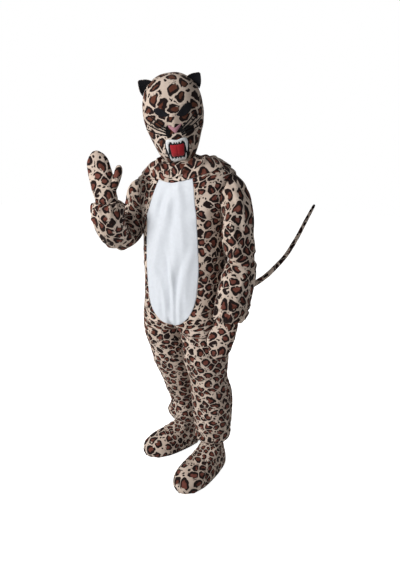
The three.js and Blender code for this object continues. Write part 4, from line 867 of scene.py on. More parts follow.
# %% Mask form
HEAD_AT = np.array([-22.0, -48.0, 1534.0])
HEAD_SQUARE = 2.3
HEAD_YAW, HEAD_TILT, HEAD_NOD = (math.radians(a) for a in (31, -7, 16))
head_turn = np.array(Matrix.Rotation(HEAD_YAW, 3, "Z") @ Matrix.Rotation(HEAD_TILT, 3, "Y")
                     @ Matrix.Rotation(HEAD_NOD, 3, "X"))
MASK = table("h wide face nape", [
    (150, 0, 0, 0), (146, 34, 32, 36), (136, 57, 53, 63), (118, 80, 74, 88), (92, 98, 90, 104),
    (58, 107, 99, 114), (20, 110, 104, 118), (-20, 105, 106, 114), (-55, 94, 108, 104),
    (-85, 84, 108, 92), (-110, 74, 100, 82), (-130, 65, 82, 76), (-142, 61, 68, 74)])
mask_wide, mask_face, mask_nape = (curve(MASK, "h", name) for name in ("wide", "face", "nape"))
# Swellings of the face: across, height, breadth, tallness, how far out. The last rows are finer than the
# solid's: cheeks, brows, the bridge of the nose and the chin.
FACE_FORMS = [
    (0, -62, 44, 42, 14), (0, -8, 15, 26, 5), (38, 40, 20, 15, -5), (-38, 40, 20, 15, -5),
    (30, -30, 17, 15, 3.2), (-30, -30, 17, 15, 3.2), (36, 68, 24, 9, 2.6), (-36, 68, 24, 9, 2.6),
    (0, 30, 11, 26, 2.4), (0, -132, 26, 9, 2.5), (0, -36, 4, 10, -1.6)]


def on_head(points):
    return metres(points @ head_turn.T + HEAD_AT)


def mask_at(h, angle):
    h, angle = np.broadcast_arrays(np.asarray(h, float), np.asarray(angle, float))
    deep = np.where(angle < 0, mask_face(h), mask_nape(h))
    radius = section_radius(angle, mask_wide(h), deep, HEAD_SQUARE)
    x, y = radius * np.cos(angle), radius * np.sin(angle)
    for across, at, broad, tall, out in FACE_FORMS:
        swell = out * np.exp(-((x - across) / broad) ** 2 - ((h - at) / tall) ** 2)
        y = y - np.where(angle < 0, swell * np.minimum(1, -np.sin(angle) * 3), 0)
    return np.stack([x, y, h], -1)


def face_at(across, h):
    share = np.minimum(np.abs(across) / np.maximum(mask_wide(h), 1e-6), 1)
    y = mask_face(h) * (1 - share ** HEAD_SQUARE) ** (1 / HEAD_SQUARE)
    return mask_at(h, -np.arctan2(y, across))


print("mask", round(float(2 * mask_wide(20))), "mm wide")

# %% [markdown]
# A bowl of cloth can't be laid flat row by row without bunching its print at the crown, so its places
# spread out from the bowl's middle instead, as on a map of a globe.

# %% Mask
def round_places(points, face):
    """Flat places on a deep bowl of cloth: spread out from its middle, so that the print keeps its size."""
    way = unit(np.array([0, face, 0.12]))
    up = unit(np.array([0, 0, 1]) - way * way[2])
    aside = np.cross(up, way)
    off = points - np.array([0, 0, 5.0])
    off = off / np.linalg.norm(off, axis=-1, keepdims=True)
    reach = np.arccos(np.clip(off @ way, -1, 1))
    turn = np.arctan2(off @ up, off @ aside)
    return reach * np.cos(turn) * 0.112, reach * np.sin(turn) * 0.125


MASK_ROWS = np.unique(np.concatenate([np.arange(-142, 120, 4.2), np.linspace(119, 150, 18)]))[:, None]
for name, start, face, seed in [("mask_face", -np.pi, -1, 31), ("mask_nape", 0.0, 1, 32)]:
    local = mask_at(MASK_ROWS, np.linspace(start, start + np.pi, 97)[None])
    u, v = round_places(local + np.array([0, 0, 1e-4]), face)
    bumps = slack(u, v, seed, 0.13, 0.0011) * (1 - np.abs(np.linspace(-1, 1, 97))[None] ** 8)
    seam_roll = 0.0026 * np.abs(np.linspace(-1, 1, 97))[None] ** 22 + 0 * MASK_ROWS
    say(shell(name, on_head(local), on_head(np.zeros(3)), FACE, PLUSH * MM, flat=(u, v), bumps=bumps,
              crown=seam_roll))

# %% [markdown]
# The bib hangs from the mask's lower edge over the shoulders. It lies on the suit at its hem and rises to
# the chin in soft folds that pull towards the left shoulder.

# %% Bib form
HEM_LEFT, HEM_RIGHT, HEM_FRONT, HEM_BACK = 1372.0, 1382.0, 1312.0, 1318.0
BIB_CORE = np.array([[-8, 0, 1200], [-8, 0, 1230], [-8, 0, 1280], [-8, 0, 1330.0]])


def on_suit(angle, z, distance):
    """A point at a distance off the suit, at an angle round the whole body."""
    side = np.cos(angle) >= 0
    own = np.where(side, angle, np.where(angle < 0, -1, 1) * (np.pi - np.abs(angle)))

    def off(form):
        p = form.at(z, own)
        along = form.at(z + 1, own) - form.at(z - 1, own)
        across = form.at(z, own + 0.02) - form.at(z, own - 0.02)
        n = np.cross(along, across)
        n = n / np.linalg.norm(n, axis=-1, keepdims=True)
        core = np.stack([form.side * form.cx(z), form.cy(z), z], -1)
        n = n * np.sign(np.sum(n * (p - core), -1, keepdims=True))
        return p + n * distance[..., None]
    return np.where(side[..., None], off(left_form), off(right_form))


def bib(name, start, columns, creases, seed):
    turned = start + np.pi * np.linspace(0, 1, columns)
    angle = np.arctan2(np.sin(turned), np.cos(turned))
    angle = np.where((start < 0) & (angle > 0), -np.pi, angle)
    rings = []
    for climb, ease in [(0, 2.6), (0.5, 4.5), (1, 6)]:
        side = np.where(np.cos(angle) >= 0, HEM_LEFT, HEM_RIGHT)
        middle = np.where(angle < 0, HEM_FRONT, HEM_BACK)
        hem = side + (middle - side) * np.abs(np.sin(angle)) ** 1.4
        height = hem + (scooped(NECKLINE, angle) - hem) * climb
        strip = np.where(angle > 0, 1.5 * np.exp(-(np.cos(angle) / 0.3) ** 2), 0)
        rings.append(on_suit(angle, height, SEAM + PLUSH + ease + strip))
    chin = mask_at(-142.0, np.arctan2(np.sin(angle - HEAD_YAW), np.cos(angle - HEAD_YAW)))
    rings.append(chin @ head_turn.T + HEAD_AT)
    stops = np.concatenate([np.linspace(0, 2, 22)[:-1], np.linspace(2, 3, 20)])
    points = metres(between_rings(rings, stops))
    inside = metres(between_rings(BIB_CORE, stops))
    flat, bumps = laid(points, False, creases, seed, 0.12, 0.0016)
    neck = np.clip((stops - 2.3) / 0.7, 0, 1)[:, None] * np.clip((3 - stops) / 0.12, 0, 1)[:, None]
    bumps = bumps + neck * 0.0016 * np.cos(9 * turned + 1.5 * np.sin(2 * turned))[None]
    rolled = 0.0012 * np.clip(1 - (stops / 0.09), 0, 1)[:, None] ** 2 + np.zeros((1, columns))
    return shell(name, points, inside[:, None], BIB, PLUSH * MM, flat=flat, bumps=bumps, crown=rolled)


print("the bib's hem lies", round(NECKLINE - HEM_FRONT), "mm below the neckline in front")

# %% [markdown]
# The bib's creases fan out from the chin to both shoulders, deeper on the left, where the head turns and
# pushes the cloth together.

# %% Bib
BIB_FRONT_CREASES = [
    (30, 70, 28, 60, 9.8, 8.8, 8), (75, 52, 34, 55, 9.2, 8, 6), (55, 95, 22, 55, 8.6, 8, -4),
    (110, 75, 30, 45, 9.2, 7, 0), (-50, 62, -24, 55, 9.8, 7.7, 8), (-90, 82, -32, 45, 9.2, 7, 0),
    (-10, 50, 4, 50, 9.2, -5.3, 10), (-35, 100, -14, 45, 8, 6.6, 0), (140, 45, 40, 40, 9.2, 6.3, 0),
    (5, 30, 2, 60, 9.2, 4.2, 12)]
BIB_BACK_CREASES = [
    (40, 60, 26, 55, 9.4, 6, 6), (-45, 70, -22, 55, 9.4, 6, 6), (95, 70, 34, 45, 8.8, 5.4, 0),
    (-100, 60, -34, 45, 8.8, 5.4, 0), (0, 50, 3, 50, 8.8, -3.9, 8), (10, 90, 8, 50, 7.7, 5.1, 0)]
for name, start, columns, creases, seed in [
    ("bib_cloth_front", -np.pi, 97, BIB_FRONT_CREASES, 41),
    ("bib_cloth_back", 0.0, 81, BIB_BACK_CREASES, 42)]:
    say(bib(name, start, columns, creases, seed))

# %% [markdown]
# Felt pieces make the face: eyes, nose and an open roaring mouth in four layers of cloth, black ground,
# red tongue, and two rows of teeth. Each is a smooth curve through its drawn outline, laid on the face one
# felt above the plush, with its rim rolled down to the cloth it is sewn to.

# %% Felt outlines
def mirrored(half):
    """A whole outline from its left half, which starts and ends on the middle line."""
    return half + [(-x, h) for x, h in half[-2:0:-1]]


EYE_AT = (42, 47)
EYE_STRETCH = {"left": (1, 1.25, 1.08), "right": (-1, 1.15, 0.82)}
EYE = [(17, 35), (25, 44), (35, 56), (46, 64), (57, 63), (62, 54), (58, 42), (49, 33), (37, 28), (26, 29)]
NOSE = mirrored([(0, -4), (9, 0), (18, 4), (24, 4), (20, -4), (11, -13), (3, -21), (0, -23)])
MOUTH = mirrored([(0, -45), (14, -43), (29, -42), (39, -47), (42, -60), (42, -84), (37, -102), (33, -118),
                  (24, -131), (10, -133), (0, -131)])
TONGUE = [(0, -60), (7, -59), (14, -60), (21, -59), (24, -66), (22, -82), (21, -98), (14, -103), (7, -101),
          (0, -104), (-7, -101), (-14, -104), (-21, -99), (-22, -82), (-24, -66), (-21, -59), (-14, -60),
          (-7, -59)]
UPPER_TEETH = [((0, -44.5), (0, -52)), ((5, -43.5), (4, -57)), ((10, -42), (8, -51)), ((15, -41), (13, -57)),
               ((21, -40), (18, -50)), ((28, -40), (23, -52)), ((35, -44), (27, -58)), ((38, -58), (28, -68)),
               ((36, -72), (29, -78)), ((31.5, -88), (30, -88.5))]
LOWER_TEETH = [((0, -124), (0, -110)), ((5, -126), (4, -106)), ((11, -128), (9, -112)),
               ((18, -127), (15, -107)), ((25, -121), (20, -112)), ((29, -110), (23, -106)),
               ((29, -101), (25, -97)), ((28.5, -93), (27, -92))]


def smooth_line(points, count, closed):
    """Points along a smooth curve through others."""
    p = np.asarray(points, float)
    n = len(p) if closed else len(p) - 1
    t = np.linspace(0, n, count, endpoint=not closed)
    i = np.minimum(t.astype(int), n - 1)
    f = (t - i)[:, None]

    def pick(k):
        return p[k % len(p)] if closed else p[np.clip(k, 0, len(p) - 1)]
    p0, p1, p2, p3 = pick(i - 1), pick(i), pick(i + 1), pick(i + 2)
    return 0.5 * (2 * p1 + (p2 - p0) * f + (2 * p0 - 5 * p1 + 4 * p2 - p3) * f**2
                  + (3 * p1 - p0 - 3 * p2 + p3) * f**3)


print("outlines:", {"eye": len(EYE), "nose": len(NOSE), "mouth": len(MOUTH), "tongue": len(TONGUE)})

# %% [markdown]
# A felt patch is rings shrinking from its outline to its middle, a row of teeth a ladder from the gum to the
# bite. Felt is cut flat and then bends with the muzzle, so its cut is longer than the drawing seen in front.

# %% Felt face
FELT_ROLL = 0.0012
PATCH_RINGS = np.array([0, 0.12, 0.28, 0.44, 0.58, 0.70, 0.80, 0.88, 0.94, 0.98, 1.0])[:, None, None]


def felt_cut(flat):
    """The drawing, stretched to its lengths across and down the curved face, in metres."""
    low, high = flat.min(axis=(0, 1)), flat.max(axis=(0, 1))
    cut = flat * MM
    for k in (0, 1):
        line = np.tile((low + high) / 2, (60, 1))
        line[:, k] = np.linspace(low[k], high[k], 60)
        cut[..., k] *= length_of(face_at(line[:, 0], line[:, 1])) / (high[k] - low[k])
    return cut[..., 0], cut[..., 1]


def felt(name, flat, cut, level, material, **form):
    """Felt laid on the face; level counts the layers of felt under it."""
    say(shell(name, on_head(face_at(flat[..., 0], flat[..., 1])), on_head(np.zeros(3)), material, FELT * MM,
              lift=(SEAM + FELT) * (level + 1) * MM, flat=felt_cut(cut), **form))


def felt_patch(name, outline, middle, level, material, dome=0.0, groove=0.0):
    line, share = smooth_line(outline, 120, True), PATCH_RINGS[..., 0]
    flat = np.array(middle) + (line[None] - np.array(middle)) * PATCH_RINGS
    rim = np.clip((share - 0.80) / 0.20, 0, 1) ** 2 + np.zeros((1, 120))
    bumps = dome * (1 - share ** 2) * MM + np.zeros((1, 120))
    bumps -= groove * MM * np.exp(-(flat[..., 0] / 1.6) ** 2) * (1 - share ** 6)
    felt(name, flat, np.concatenate([flat, flat[:, :1]], 1), level, material, loop=True, bumps=bumps,
         crown=FELT_ROLL * rim)


def felt_teeth(name, pairs):
    both = [((-g[0], g[1]), (-b[0], b[1])) for g, b in pairs[:0:-1]] + list(pairs)
    gum, bite = (smooth_line([pair[k] for pair in both], 161, False) for k in (0, 1))
    share = np.linspace(0, 1, 13)[:, None] + np.zeros((1, 161))
    flat = gum[None] + (bite - gum)[None] * share[..., None]
    off_middle = np.abs(2 * share - 1)
    felt(name, flat, flat, 1, TOOTH, bumps=(1 - off_middle ** 2) * FELT_ROLL,
         crown=FELT_ROLL * off_middle ** 5)


for word, (side, wide, tall) in EYE_STRETCH.items():
    x0, h0 = EYE_AT
    outline = [(side * (x0 + wide * (x - x0)), h0 + tall * (h - h0)) for x, h in EYE]
    felt_patch(f"eye_patch_{word}", outline, (side * x0, h0), 0, BLACK, 0.8)
felt_patch("nose_patch", NOSE, (0, -9), 0, PINK, 1.6)
felt_patch("mouth_black", MOUTH, (0, -86), 0, BLACK)
felt_patch("tongue_red", TONGUE, (0, -82), 1, RED, 1.4, 1.3)
felt_teeth("teeth_row_upper", UPPER_TEETH)
felt_teeth("teeth_row_lower", LOWER_TEETH)

# %% [markdown]
# An ear is a cupped leaf of black felt backed with printed plush. Each of its columns has to start where it
# meets the mask, and halving the distance again and again finds that point on any surface.

# %% Ears
EAR_INNER, EAR_OUTER, EAR_TIP = np.array([[55.0, -14, 128], [97.0, -8, 86], [107.0, -14, 140]])
EAR_WALL, EAR_CUP, EAR_BULGE = 2.0, 9, 7


def ear_at(side, rise, across):
    flip = np.array([side, 1, 1])
    inner, outer, tip = EAR_INNER * flip, EAR_OUTER * flip, EAR_TIP * flip
    base = inner + (outer - inner) * ((across + 1) / 2)[..., None]
    p = base + (tip - base) * rise[..., None]
    p[..., 1] += EAR_CUP * (1 - across ** 2) * (1 - rise)
    return p + unit(outer - inner) * (across * EAR_BULGE * np.sin(np.pi * rise))[..., None]


def ear(side, name, lift, material):
    across = np.linspace(-1, 1, 41)
    low, high = np.full(41, -0.35), np.full(41, 0.9)
    for _ in range(30):
        middle = (low + high) / 2
        p = ear_at(side, middle, across)
        surface = mask_at(p[:, 2], np.arctan2(p[:, 1], p[:, 0]))
        within = np.hypot(p[:, 0], p[:, 1]) < np.hypot(surface[:, 0], surface[:, 1]) + 0.4
        low, high = np.where(within, middle, low), np.where(within, high, middle)
    rise = high + (1 - high) * np.linspace(0, 1, 25)[:, None] ** 0.85
    points = on_head(ear_at(side, rise, across + 0 * rise))
    behind = on_head(np.array([side * 80.0, 300, 100]))
    rolled = 0.0008 * np.abs(across)[None] ** 10 + 0 * rise
    say(shell(name, points, behind, material, EAR_WALL * MM, lift=lift * MM, crown=rolled))


for word, side in (("left", 1), ("right", -1)):
    ear(side, f"ear_felt_{word}", 0.0, BLACK)
    ear(side, f"ear_plush_{word}", -(EAR_WALL + SEAM), FACE)

# %% [markdown]
# Cloth that can't be laid out row by row, such as a mitten with its thumb or a boot cover, is opened at its
# seams and flattened, then scaled to its true size, so that its print comes out in the right size too.

# %% Flattening
def sheet_object(name, vertices, faces):
    mesh = bpy.data.meshes.new(name)
    mesh.from_pydata([tuple(p) for p in vertices], [], faces)
    mesh.validate()
    return stand(name, mesh)


def applied(made, name):
    """The mesh of an object with its modifiers applied; the object itself goes."""
    mesh = bpy.data.meshes.new_from_object(made.evaluated_get(bpy.context.evaluated_depsgraph_get()))
    bpy.data.objects.remove(made)
    mesh.name = name
    return mesh


def flatten(made, seam_edges=()):
    """Unwraps an open sheet and scales the result so that its flat area is the cloth's own."""
    mesh = made.data
    for index in seam_edges:
        mesh.edges[index].use_seam = True
    mesh.uv_layers.new(name="cloth")
    for other in bpy.context.selected_objects:
        other.select_set(False)
    made.select_set(True)
    bpy.context.view_layer.objects.active = made
    bpy.ops.object.mode_set(mode="EDIT")
    bpy.ops.mesh.select_all(action="SELECT")
    bpy.ops.uv.unwrap(method="ANGLE_BASED", margin=0.0)
    bpy.ops.object.mode_set(mode="OBJECT")
    mesh = made.data
    uv = np.empty(len(mesh.loops) * 2, np.float32)
    mesh.uv_layers["cloth"].data.foreach_get("uv", uv)
    uv = uv.reshape(-1, 2).astype(float)
    flat_area = 0.0
    for face in mesh.polygons:
        p = uv[face.loop_start:face.loop_start + face.loop_total]
        q = np.roll(p, -1, 0)
        flat_area += abs(np.sum(p[:, 0] * q[:, 1] - p[:, 1] * q[:, 0])) / 2
    area = sum(face.area for face in mesh.polygons)
    uv *= math.sqrt(area / flat_area)
    mesh.uv_layers["cloth"].data.foreach_set("uv", uv.astype(np.float32).ravel())
    size = uv.max(0) - uv.min(0)
    return [float(size[0]), float(size[1]), float(area)]


print("meshes so far:", len(bpy.data.meshes))

# %% [markdown]
# An open sheet gets its wall with a Solidify modifier, which keeps the sheet outside and grows inwards. Ring
# faces and closed tubes are the two meshes that the mittens and boot covers start from.

# %% Walls and tubes
def wall(name, sheet, material, cut):
    """A sheet gets its wall: the sheet stays outside and the cloth grows inwards."""
    solidify = sheet.modifiers.new("wall", "SOLIDIFY")
    solidify.thickness, solidify.offset, solidify.use_even_offset = PLUSH * MM, -1.0, False
    mesh = applied(sheet, name)
    mesh.materials.clear()
    mesh.materials.append(material)
    soften(mesh)
    piece = stand(name, mesh)
    piece["cut"] = cut
    pieces.append(piece)
    say(piece)


def ring_faces(n, m):
    """Faces between n rings of m points."""
    return [[i * m + j, i * m + (j + 1) % m, (i + 1) * m + (j + 1) % m, (i + 1) * m + j]
            for i in range(n - 1) for j in range(m)]


def closed_tube(rings):
    """Vertices and faces of a closed form through rings of points, with a point at each end."""
    rings = np.asarray(rings)
    n, m = rings.shape[:2]
    vertices = np.concatenate([rings.reshape(-1, 3), rings[:1].mean(1), rings[-1:].mean(1)])
    faces = ring_faces(n, m) + [[n * m, (j + 1) % m, j] for j in range(m)]
    faces += [[n * m + 1, (n - 1) * m + j, (n - 1) * m + (j + 1) % m] for j in range(m)]
    return vertices, faces


print("two rings of three points give", len(ring_faces(2, 3)), "faces")

# %% [markdown]
# A mitten is a palm and a back sewn round the edge, thumb and all. The thumb grows out of the hand, so both
# are made as one soft form first, which is then split along the seam and opened at the wrist.

# %% Mitten form
MITTEN = table("w wide thick u", [
    (-26, 40, 40, 0), (4, 41.4, 41.4, 0), (30, 44, 33, 0), (75, 46, 28, 0), (120, 45, 26, 1),
    (150, 40, 23, 2), (172, 28, 17, 3), (184, 13, 8, 3)])
THUMB_SPREAD = table("w wide thick u", [
    (28, 22, 20, 16), (56, 19, 18, 42), (84, 17, 16, 62), (106, 15, 14, 72), (120, 9, 9, 76)])
THUMB_CLOSED = table("w wide thick u", [
    (30, 22, 20, 14), (60, 21, 20, 30), (96, 19, 18, 38), (124, 16, 15, 40), (138, 9, 9, 40)])
HANDS = {
    "left": ((231, -74, 814), (-0.16, -0.22, -0.96), (-0.9, -0.42), 0.9, THUMB_CLOSED),
    "right": ((-211, -220, 1239), (-0.145, -0.13, 0.98), (0.93, 0.36), 1.0, THUMB_SPREAD)}


def hand_rings(rows, stretch, count, steps, seed):
    w = np.linspace(rows[0]["w"], rows[-1]["w"], steps)
    wide, thick, u = (curve(rows, "w", key)(w) for key in ("wide", "thick", "u"))
    angle = 2 * np.pi * np.arange(count) / count
    uneven = 1 + 0.014 * np.sin(0.13 * w[:, None] + 3 * np.sin(2 * angle + seed) + seed)
    x = u[:, None] + wide[:, None] * uneven * np.cos(angle)
    y = thick[:, None] * uneven * np.sin(angle)
    rings = np.stack([x, y, (w * stretch)[:, None] + 0 * x], -1)
    end = rings[-1].mean(0) + np.array([0, 0, 3.4])
    share = np.array([0.86, 0.6, 0.3])[:, None, None]
    cap = end + (rings[-1] - end) * share
    cap[..., 2] = rings[-1, :, 2] + 3.4 * (1 - share[..., 0] ** 2)
    return np.concatenate([rings, cap])


def mitten_form(thumb, stretch, seed):
    """Hand and thumb melted into one closed soft form, in the mitten's own axes."""
    vertices, faces = closed_tube(hand_rings(MITTEN, stretch, 64, 60, seed))
    more, more_faces = closed_tube(hand_rings(thumb, stretch, 36, 32, seed + 2))
    faces = faces + [[k + len(vertices) for k in face] for face in more_faces]
    rough = sheet_object("hand", np.concatenate([vertices, more]), faces)
    melt = rough.modifiers.new("melt", "REMESH")
    melt.mode, melt.voxel_size = "VOXEL", 2.4
    relax = rough.modifiers.new("relax", "SMOOTH")
    relax.factor, relax.iterations = 0.5, 8
    return applied(rough, "hand")


print("a mitten is", MITTEN[-1]["w"] - MITTEN[0]["w"], "mm long")

# %% [markdown]
# The closed form is cut twice, at the seam between palm and back and at the wrist. Creases cross the palm
# and the knuckles, and the cloth dips a little along the seam.

# %% Mittens
WRIST = -24.5
MITTEN_CREASES = [(0, 40, 8, 30, 5, 1.8, 2), (10, 62, -12, 26, 5, -1.6, 2), (-14, 88, 6, 26, 6, 1.5, -2),
                  (6, 118, -8, 30, 6, -1.2, 2), (-4, 18, 4, 40, 4, 1.8, 0), (3, 4, -3, 40, 4, -1.6, 0)]


def mitten_half(form, face, stretch, seed):
    """One side of the form as an open sheet, and its points with their creases."""
    halved = bmesh.new()
    halved.from_mesh(form)
    for place, normal in (((0, face * SEAM / 2, 0), (0, face, 0)), ((0, 0, WRIST), (0, 0, 1))):
        bmesh.ops.bisect_plane(halved, geom=halved.verts[:] + halved.edges[:] + halved.faces[:], dist=1e-4,
                               plane_co=place, plane_no=normal, clear_inner=True)
    mesh = bpy.data.meshes.new("half")
    halved.to_mesh(mesh)
    halved.free()
    p = np.empty(len(mesh.vertices) * 3)
    mesh.vertices.foreach_get("co", p)
    p = p.reshape(-1, 3)
    out = p - np.stack([np.clip(p[:, 0], -20, 60), 0 * p[:, 0], p[:, 2]], -1)
    out /= np.maximum(np.linalg.norm(out, axis=1, keepdims=True), 1e-6)
    seam_near = np.exp(-(np.abs(p[:, 1]) / 5.0) ** 2)
    w = p[:, 2] / stretch
    high = crease(p[:, 0], w, MITTEN_CREASES) * (1 if face > 0 else 0.8) + slack(p[:, 0], w, seed, 60, 0.7)
    return mesh, p + out * (high * (1 - seam_near) - 0.7 * seam_near)[:, None]


def mitten(word, seed):
    at, way, across, stretch, thumb = HANDS[word]
    way, aside = unit(np.array(way, float)), np.array([*across, 0.0])
    aside = unit(aside - way * aside.dot(way))
    turn_hand = np.stack([aside, np.cross(way, aside), way], 1)
    form = mitten_form(thumb, stretch, seed)
    for half, face in (("back", 1), ("palm", -1)):
        mesh, p = mitten_half(form, face, stretch, seed)
        mesh.vertices.foreach_set("co", metres(p @ turn_hand.T + np.array(at, float)).ravel())
        sheet = stand("half", mesh)
        wall(f"hand_{word}_{half}", sheet, HAND, flatten(sheet))


mitten("left", 1)
mitten("right", 4)

# %% [markdown]
# The boot covers slip over shoes: a plump round toe and a tube at the ankle that the legs of
# the jumpsuit fall over. Each is one piece of plush, closed at the heel, on a plain non-slip sole.

# %% Boot covers
BOOT_FORM = table("z long wide back", [
    (3.3, 157, 62, 0), (22, 163, 70, 0), (46, 160, 70, 1), (68, 146, 65, 12), (86, 120, 57, 34),
    (102, 88, 53, 60), (119, 61, 52, 78), (136, 52, 51.5, 84), (182, 51, 51, 84)])
boot_long, boot_wide, boot_back = (curve(BOOT_FORM, "z", name) for name in ("long", "wide", "back"))
BOOT_FOOT, BOOT_TOP = 3.3, 182
FEET = {"left": (86, -12, -9), "right": (-144, 118, -28)}
BOOT_CREASES = [(0, 42, 4, 60, 7, 2.6, 6), (10, 66, -8, 56, 6, -2.2, -5), (-12, 88, 6, 60, 6, 2.4, 6),
                (0, 24, -4, 50, 8, -1.6, 6), (20, 4, 30, 36, 8, 1.4, 0), (-26, -20, -34, 34, 8, 1.6, 0)]


def boot_at(z, angle):
    square = 2.4 - 0.4 * soft((z - 118) / 14)
    radius = section_radius(angle, boot_wide(z), boot_long(z), square)
    return np.stack([radius * np.cos(angle) * (1 - 0.1 * np.sin(angle)),
                     boot_back(z) + radius * np.sin(angle), z + 0 * radius], -1)


def boot(word, seed):
    x, y, turned = FEET[word]
    z = [np.linspace(BOOT_FOOT, 62, 17), np.linspace(64, 122, 34), np.linspace(124, BOOT_TOP, 14)]
    z = np.concatenate(z)[:, None]
    angle = np.pi / 2 + 2 * np.pi * np.arange(96)[None] / 96
    p = boot_at(z, angle)
    inside = np.stack([0 * z, boot_back(z), 0.6 * z], -1)
    normal = grid_normals(p, inside, True)
    across, along = p[..., 0], p[..., 1] + 0.7 * p[..., 2]
    open_edge = np.clip((BOOT_TOP - z) / 12, 0, 1) * np.clip((z - BOOT_FOOT) / 14, 0, 1)
    high = (crease(across, along, BOOT_CREASES) + slack(across, along, seed, 90, 1.1)) * open_edge
    edge_roll = 1.6 * np.exp(-((z - BOOT_FOOT) / 3.2) ** 2)
    p = p + normal * (high - edge_roll)[..., None]
    c, s = math.cos(math.radians(turned)), math.sin(math.radians(turned))
    world = np.stack([x + p[..., 0] * c - p[..., 1] * s, y + p[..., 0] * s + p[..., 1] * c, p[..., 2]], -1)
    n, m = p.shape[:2]
    made = sheet_object("boot", metres(world).reshape(-1, 3), ring_faces(n, m))
    heel = {(i * m, (i + 1) * m) for i in range(n - 1)}
    seam = [e.index for e in made.data.edges if tuple(sorted(e.vertices)) in heel]
    wall(f"boot_cover_{word}", made, BOOT, flatten(made, seam))


boot("left", 61)
boot("right", 64)

# %% [markdown]
# Whatever follows a path is grown along it by a small node tree: the stuffed tail and the whiskers. The tree
# takes a line of points that know their own thickness and wraps a closed round skin about it.

# %% Strands
def strand_tree():
    tree = bpy.data.node_groups.new("strand", "GeometryNodeTree")
    tree.interface.new_socket("Geometry", in_out="INPUT", socket_type="NodeSocketGeometry")
    tree.interface.new_socket("Thickness", in_out="INPUT", socket_type="NodeSocketFloat")
    tree.interface.new_socket("Sides", in_out="INPUT", socket_type="NodeSocketInt")
    tree.interface.new_socket("Cloth", in_out="INPUT", socket_type="NodeSocketMaterial")
    tree.interface.new_socket("Geometry", in_out="OUTPUT", socket_type="NodeSocketGeometry")
    add = tree.nodes.new
    start, end = add("NodeGroupInput"), add("NodeGroupOutput")
    line = add("GeometryNodeMeshToCurve")
    own = add("GeometryNodeInputNamedAttribute")
    own.data_type = "FLOAT"
    own.inputs["Name"].default_value = "radius_m"
    size = add("ShaderNodeMath")
    size.operation = "MULTIPLY"
    ring, skin = add("GeometryNodeCurvePrimitiveCircle"), add("GeometryNodeCurveToMesh")
    ring.inputs["Radius"].default_value = 1.0
    skin.inputs["Fill Caps"].default_value = True
    soft_shade, real, finish = (add("GeometryNodeSetShadeSmooth"), add("GeometryNodeRealizeInstances"),
                                add("GeometryNodeSetMaterial"))
    link = tree.links.new
    link(start.outputs["Geometry"], line.inputs["Mesh"])
    link(own.outputs["Attribute"], size.inputs[0])
    link(start.outputs["Thickness"], size.inputs[1])
    link(size.outputs[0], skin.inputs["Scale"])
    link(start.outputs["Sides"], ring.inputs["Resolution"])
    link(line.outputs["Curve"], skin.inputs["Curve"])
    link(ring.outputs["Curve"], skin.inputs["Profile Curve"])
    link(skin.outputs["Mesh"], soft_shade.inputs["Geometry"])
    link(soft_shade.outputs["Geometry"], real.inputs["Geometry"])
    link(real.outputs["Geometry"], finish.inputs["Geometry"])
    link(start.outputs["Cloth"], finish.inputs["Material"])
    link(finish.outputs["Geometry"], end.inputs["Geometry"])
    return tree


strand = strand_tree()
print("nodes of the strand tree:", len(strand.nodes))

# %% [markdown]
# To grow a strand, a bare line gets the tree as its modifier. The inputs are set by their identifiers, the
# result is taken as a plain mesh, and the line is removed.

# %% Growing strands
STRAND_INPUT = {item.name: item.identifier for item in strand.interface.items_tree if item.in_out == "INPUT"}


def grow(name, lines, radii, sides, material):
    """Lines of points in metres become round strands; radii are their thicknesses at each point."""
    points, edges = [], []
    for line in lines:
        edges += [(len(points) + k, len(points) + k + 1) for k in range(len(line) - 1)]
        points += [tuple(p) for p in line]
    mesh = bpy.data.meshes.new(name + "_path")
    mesh.from_pydata(points, edges, [])
    thickness = mesh.attributes.new("radius_m", "FLOAT", "POINT")
    thickness.data.foreach_set("value", np.concatenate(radii).astype(np.float32))
    path = stand(name + "_path", mesh)
    nodes = path.modifiers.new("strand", "NODES")
    nodes.node_group = strand
    for word, value in (("Thickness", 1.0), ("Sides", sides), ("Cloth", material)):
        nodes[STRAND_INPUT[word]] = value
    piece = stand(name, applied(path, name))
    pieces.append(piece)
    return piece


print("strand inputs:", list(STRAND_INPUT))

# %% [markdown]
# The tail is a stuffed tube of the same plush, sewn to the centre back. It sinks below its root and lifts in
# one curve to its tip, and a slow swell along it shows where the filling has moved.

# %% Tail
TAIL_POINTS, TAIL_ROUND, TAIL_ROOT = 240, 232, 903.0
TAIL_WAY = np.array([0.64, 0.768])
TAIL_FORM = table("along z radius", [
    (-2, 903, 19), (26, 886, 16), (60, 862, 15.5), (130, 832, 14.5), (200, 828, 13.5), (262, 846, 12.5),
    (320, 878, 11.5), (372, 922, 10.5), (412, 962, 10), (444, 1008, 9.5), (474, 1058, 9),
    (502, 1112, 8.2), (524, 1152, 7.4), (543, 1187, 5.5)])
root_y = float(left_form.at(TAIL_ROOT, left_form.towards_x(TAIL_ROOT, 0.0, 1))[1])
line = smooth_line([(r["along"], r["z"]) for r in TAIL_FORM], TAIL_POINTS, False)
thick = smooth_line([(r["radius"], 0) for r in TAIL_FORM], TAIL_POINTS, False)[:, 0]
count = np.arange(TAIL_POINTS)
tip = np.sqrt(np.clip(1 - ((count - TAIL_ROUND) / 8.2) ** 2, 0.02, 1))
thick = thick * np.where(count > TAIL_ROUND, tip, 1)
share = count / (TAIL_POINTS - 1)
thick = thick * (1 + 0.035 * np.sin(share * 61) * np.sin(share * 23 + 1) + 0.02 * np.sin(share * 137))
path = np.stack([TAIL_WAY[0] * line[:, 0], root_y + TAIL_WAY[1] * line[:, 0], line[:, 1]], -1)
tail = grow("tail_stuffed", [metres(path)], [thick * MM], 28, TAIL)
print("tail", round(length_of(path)), "mm long")

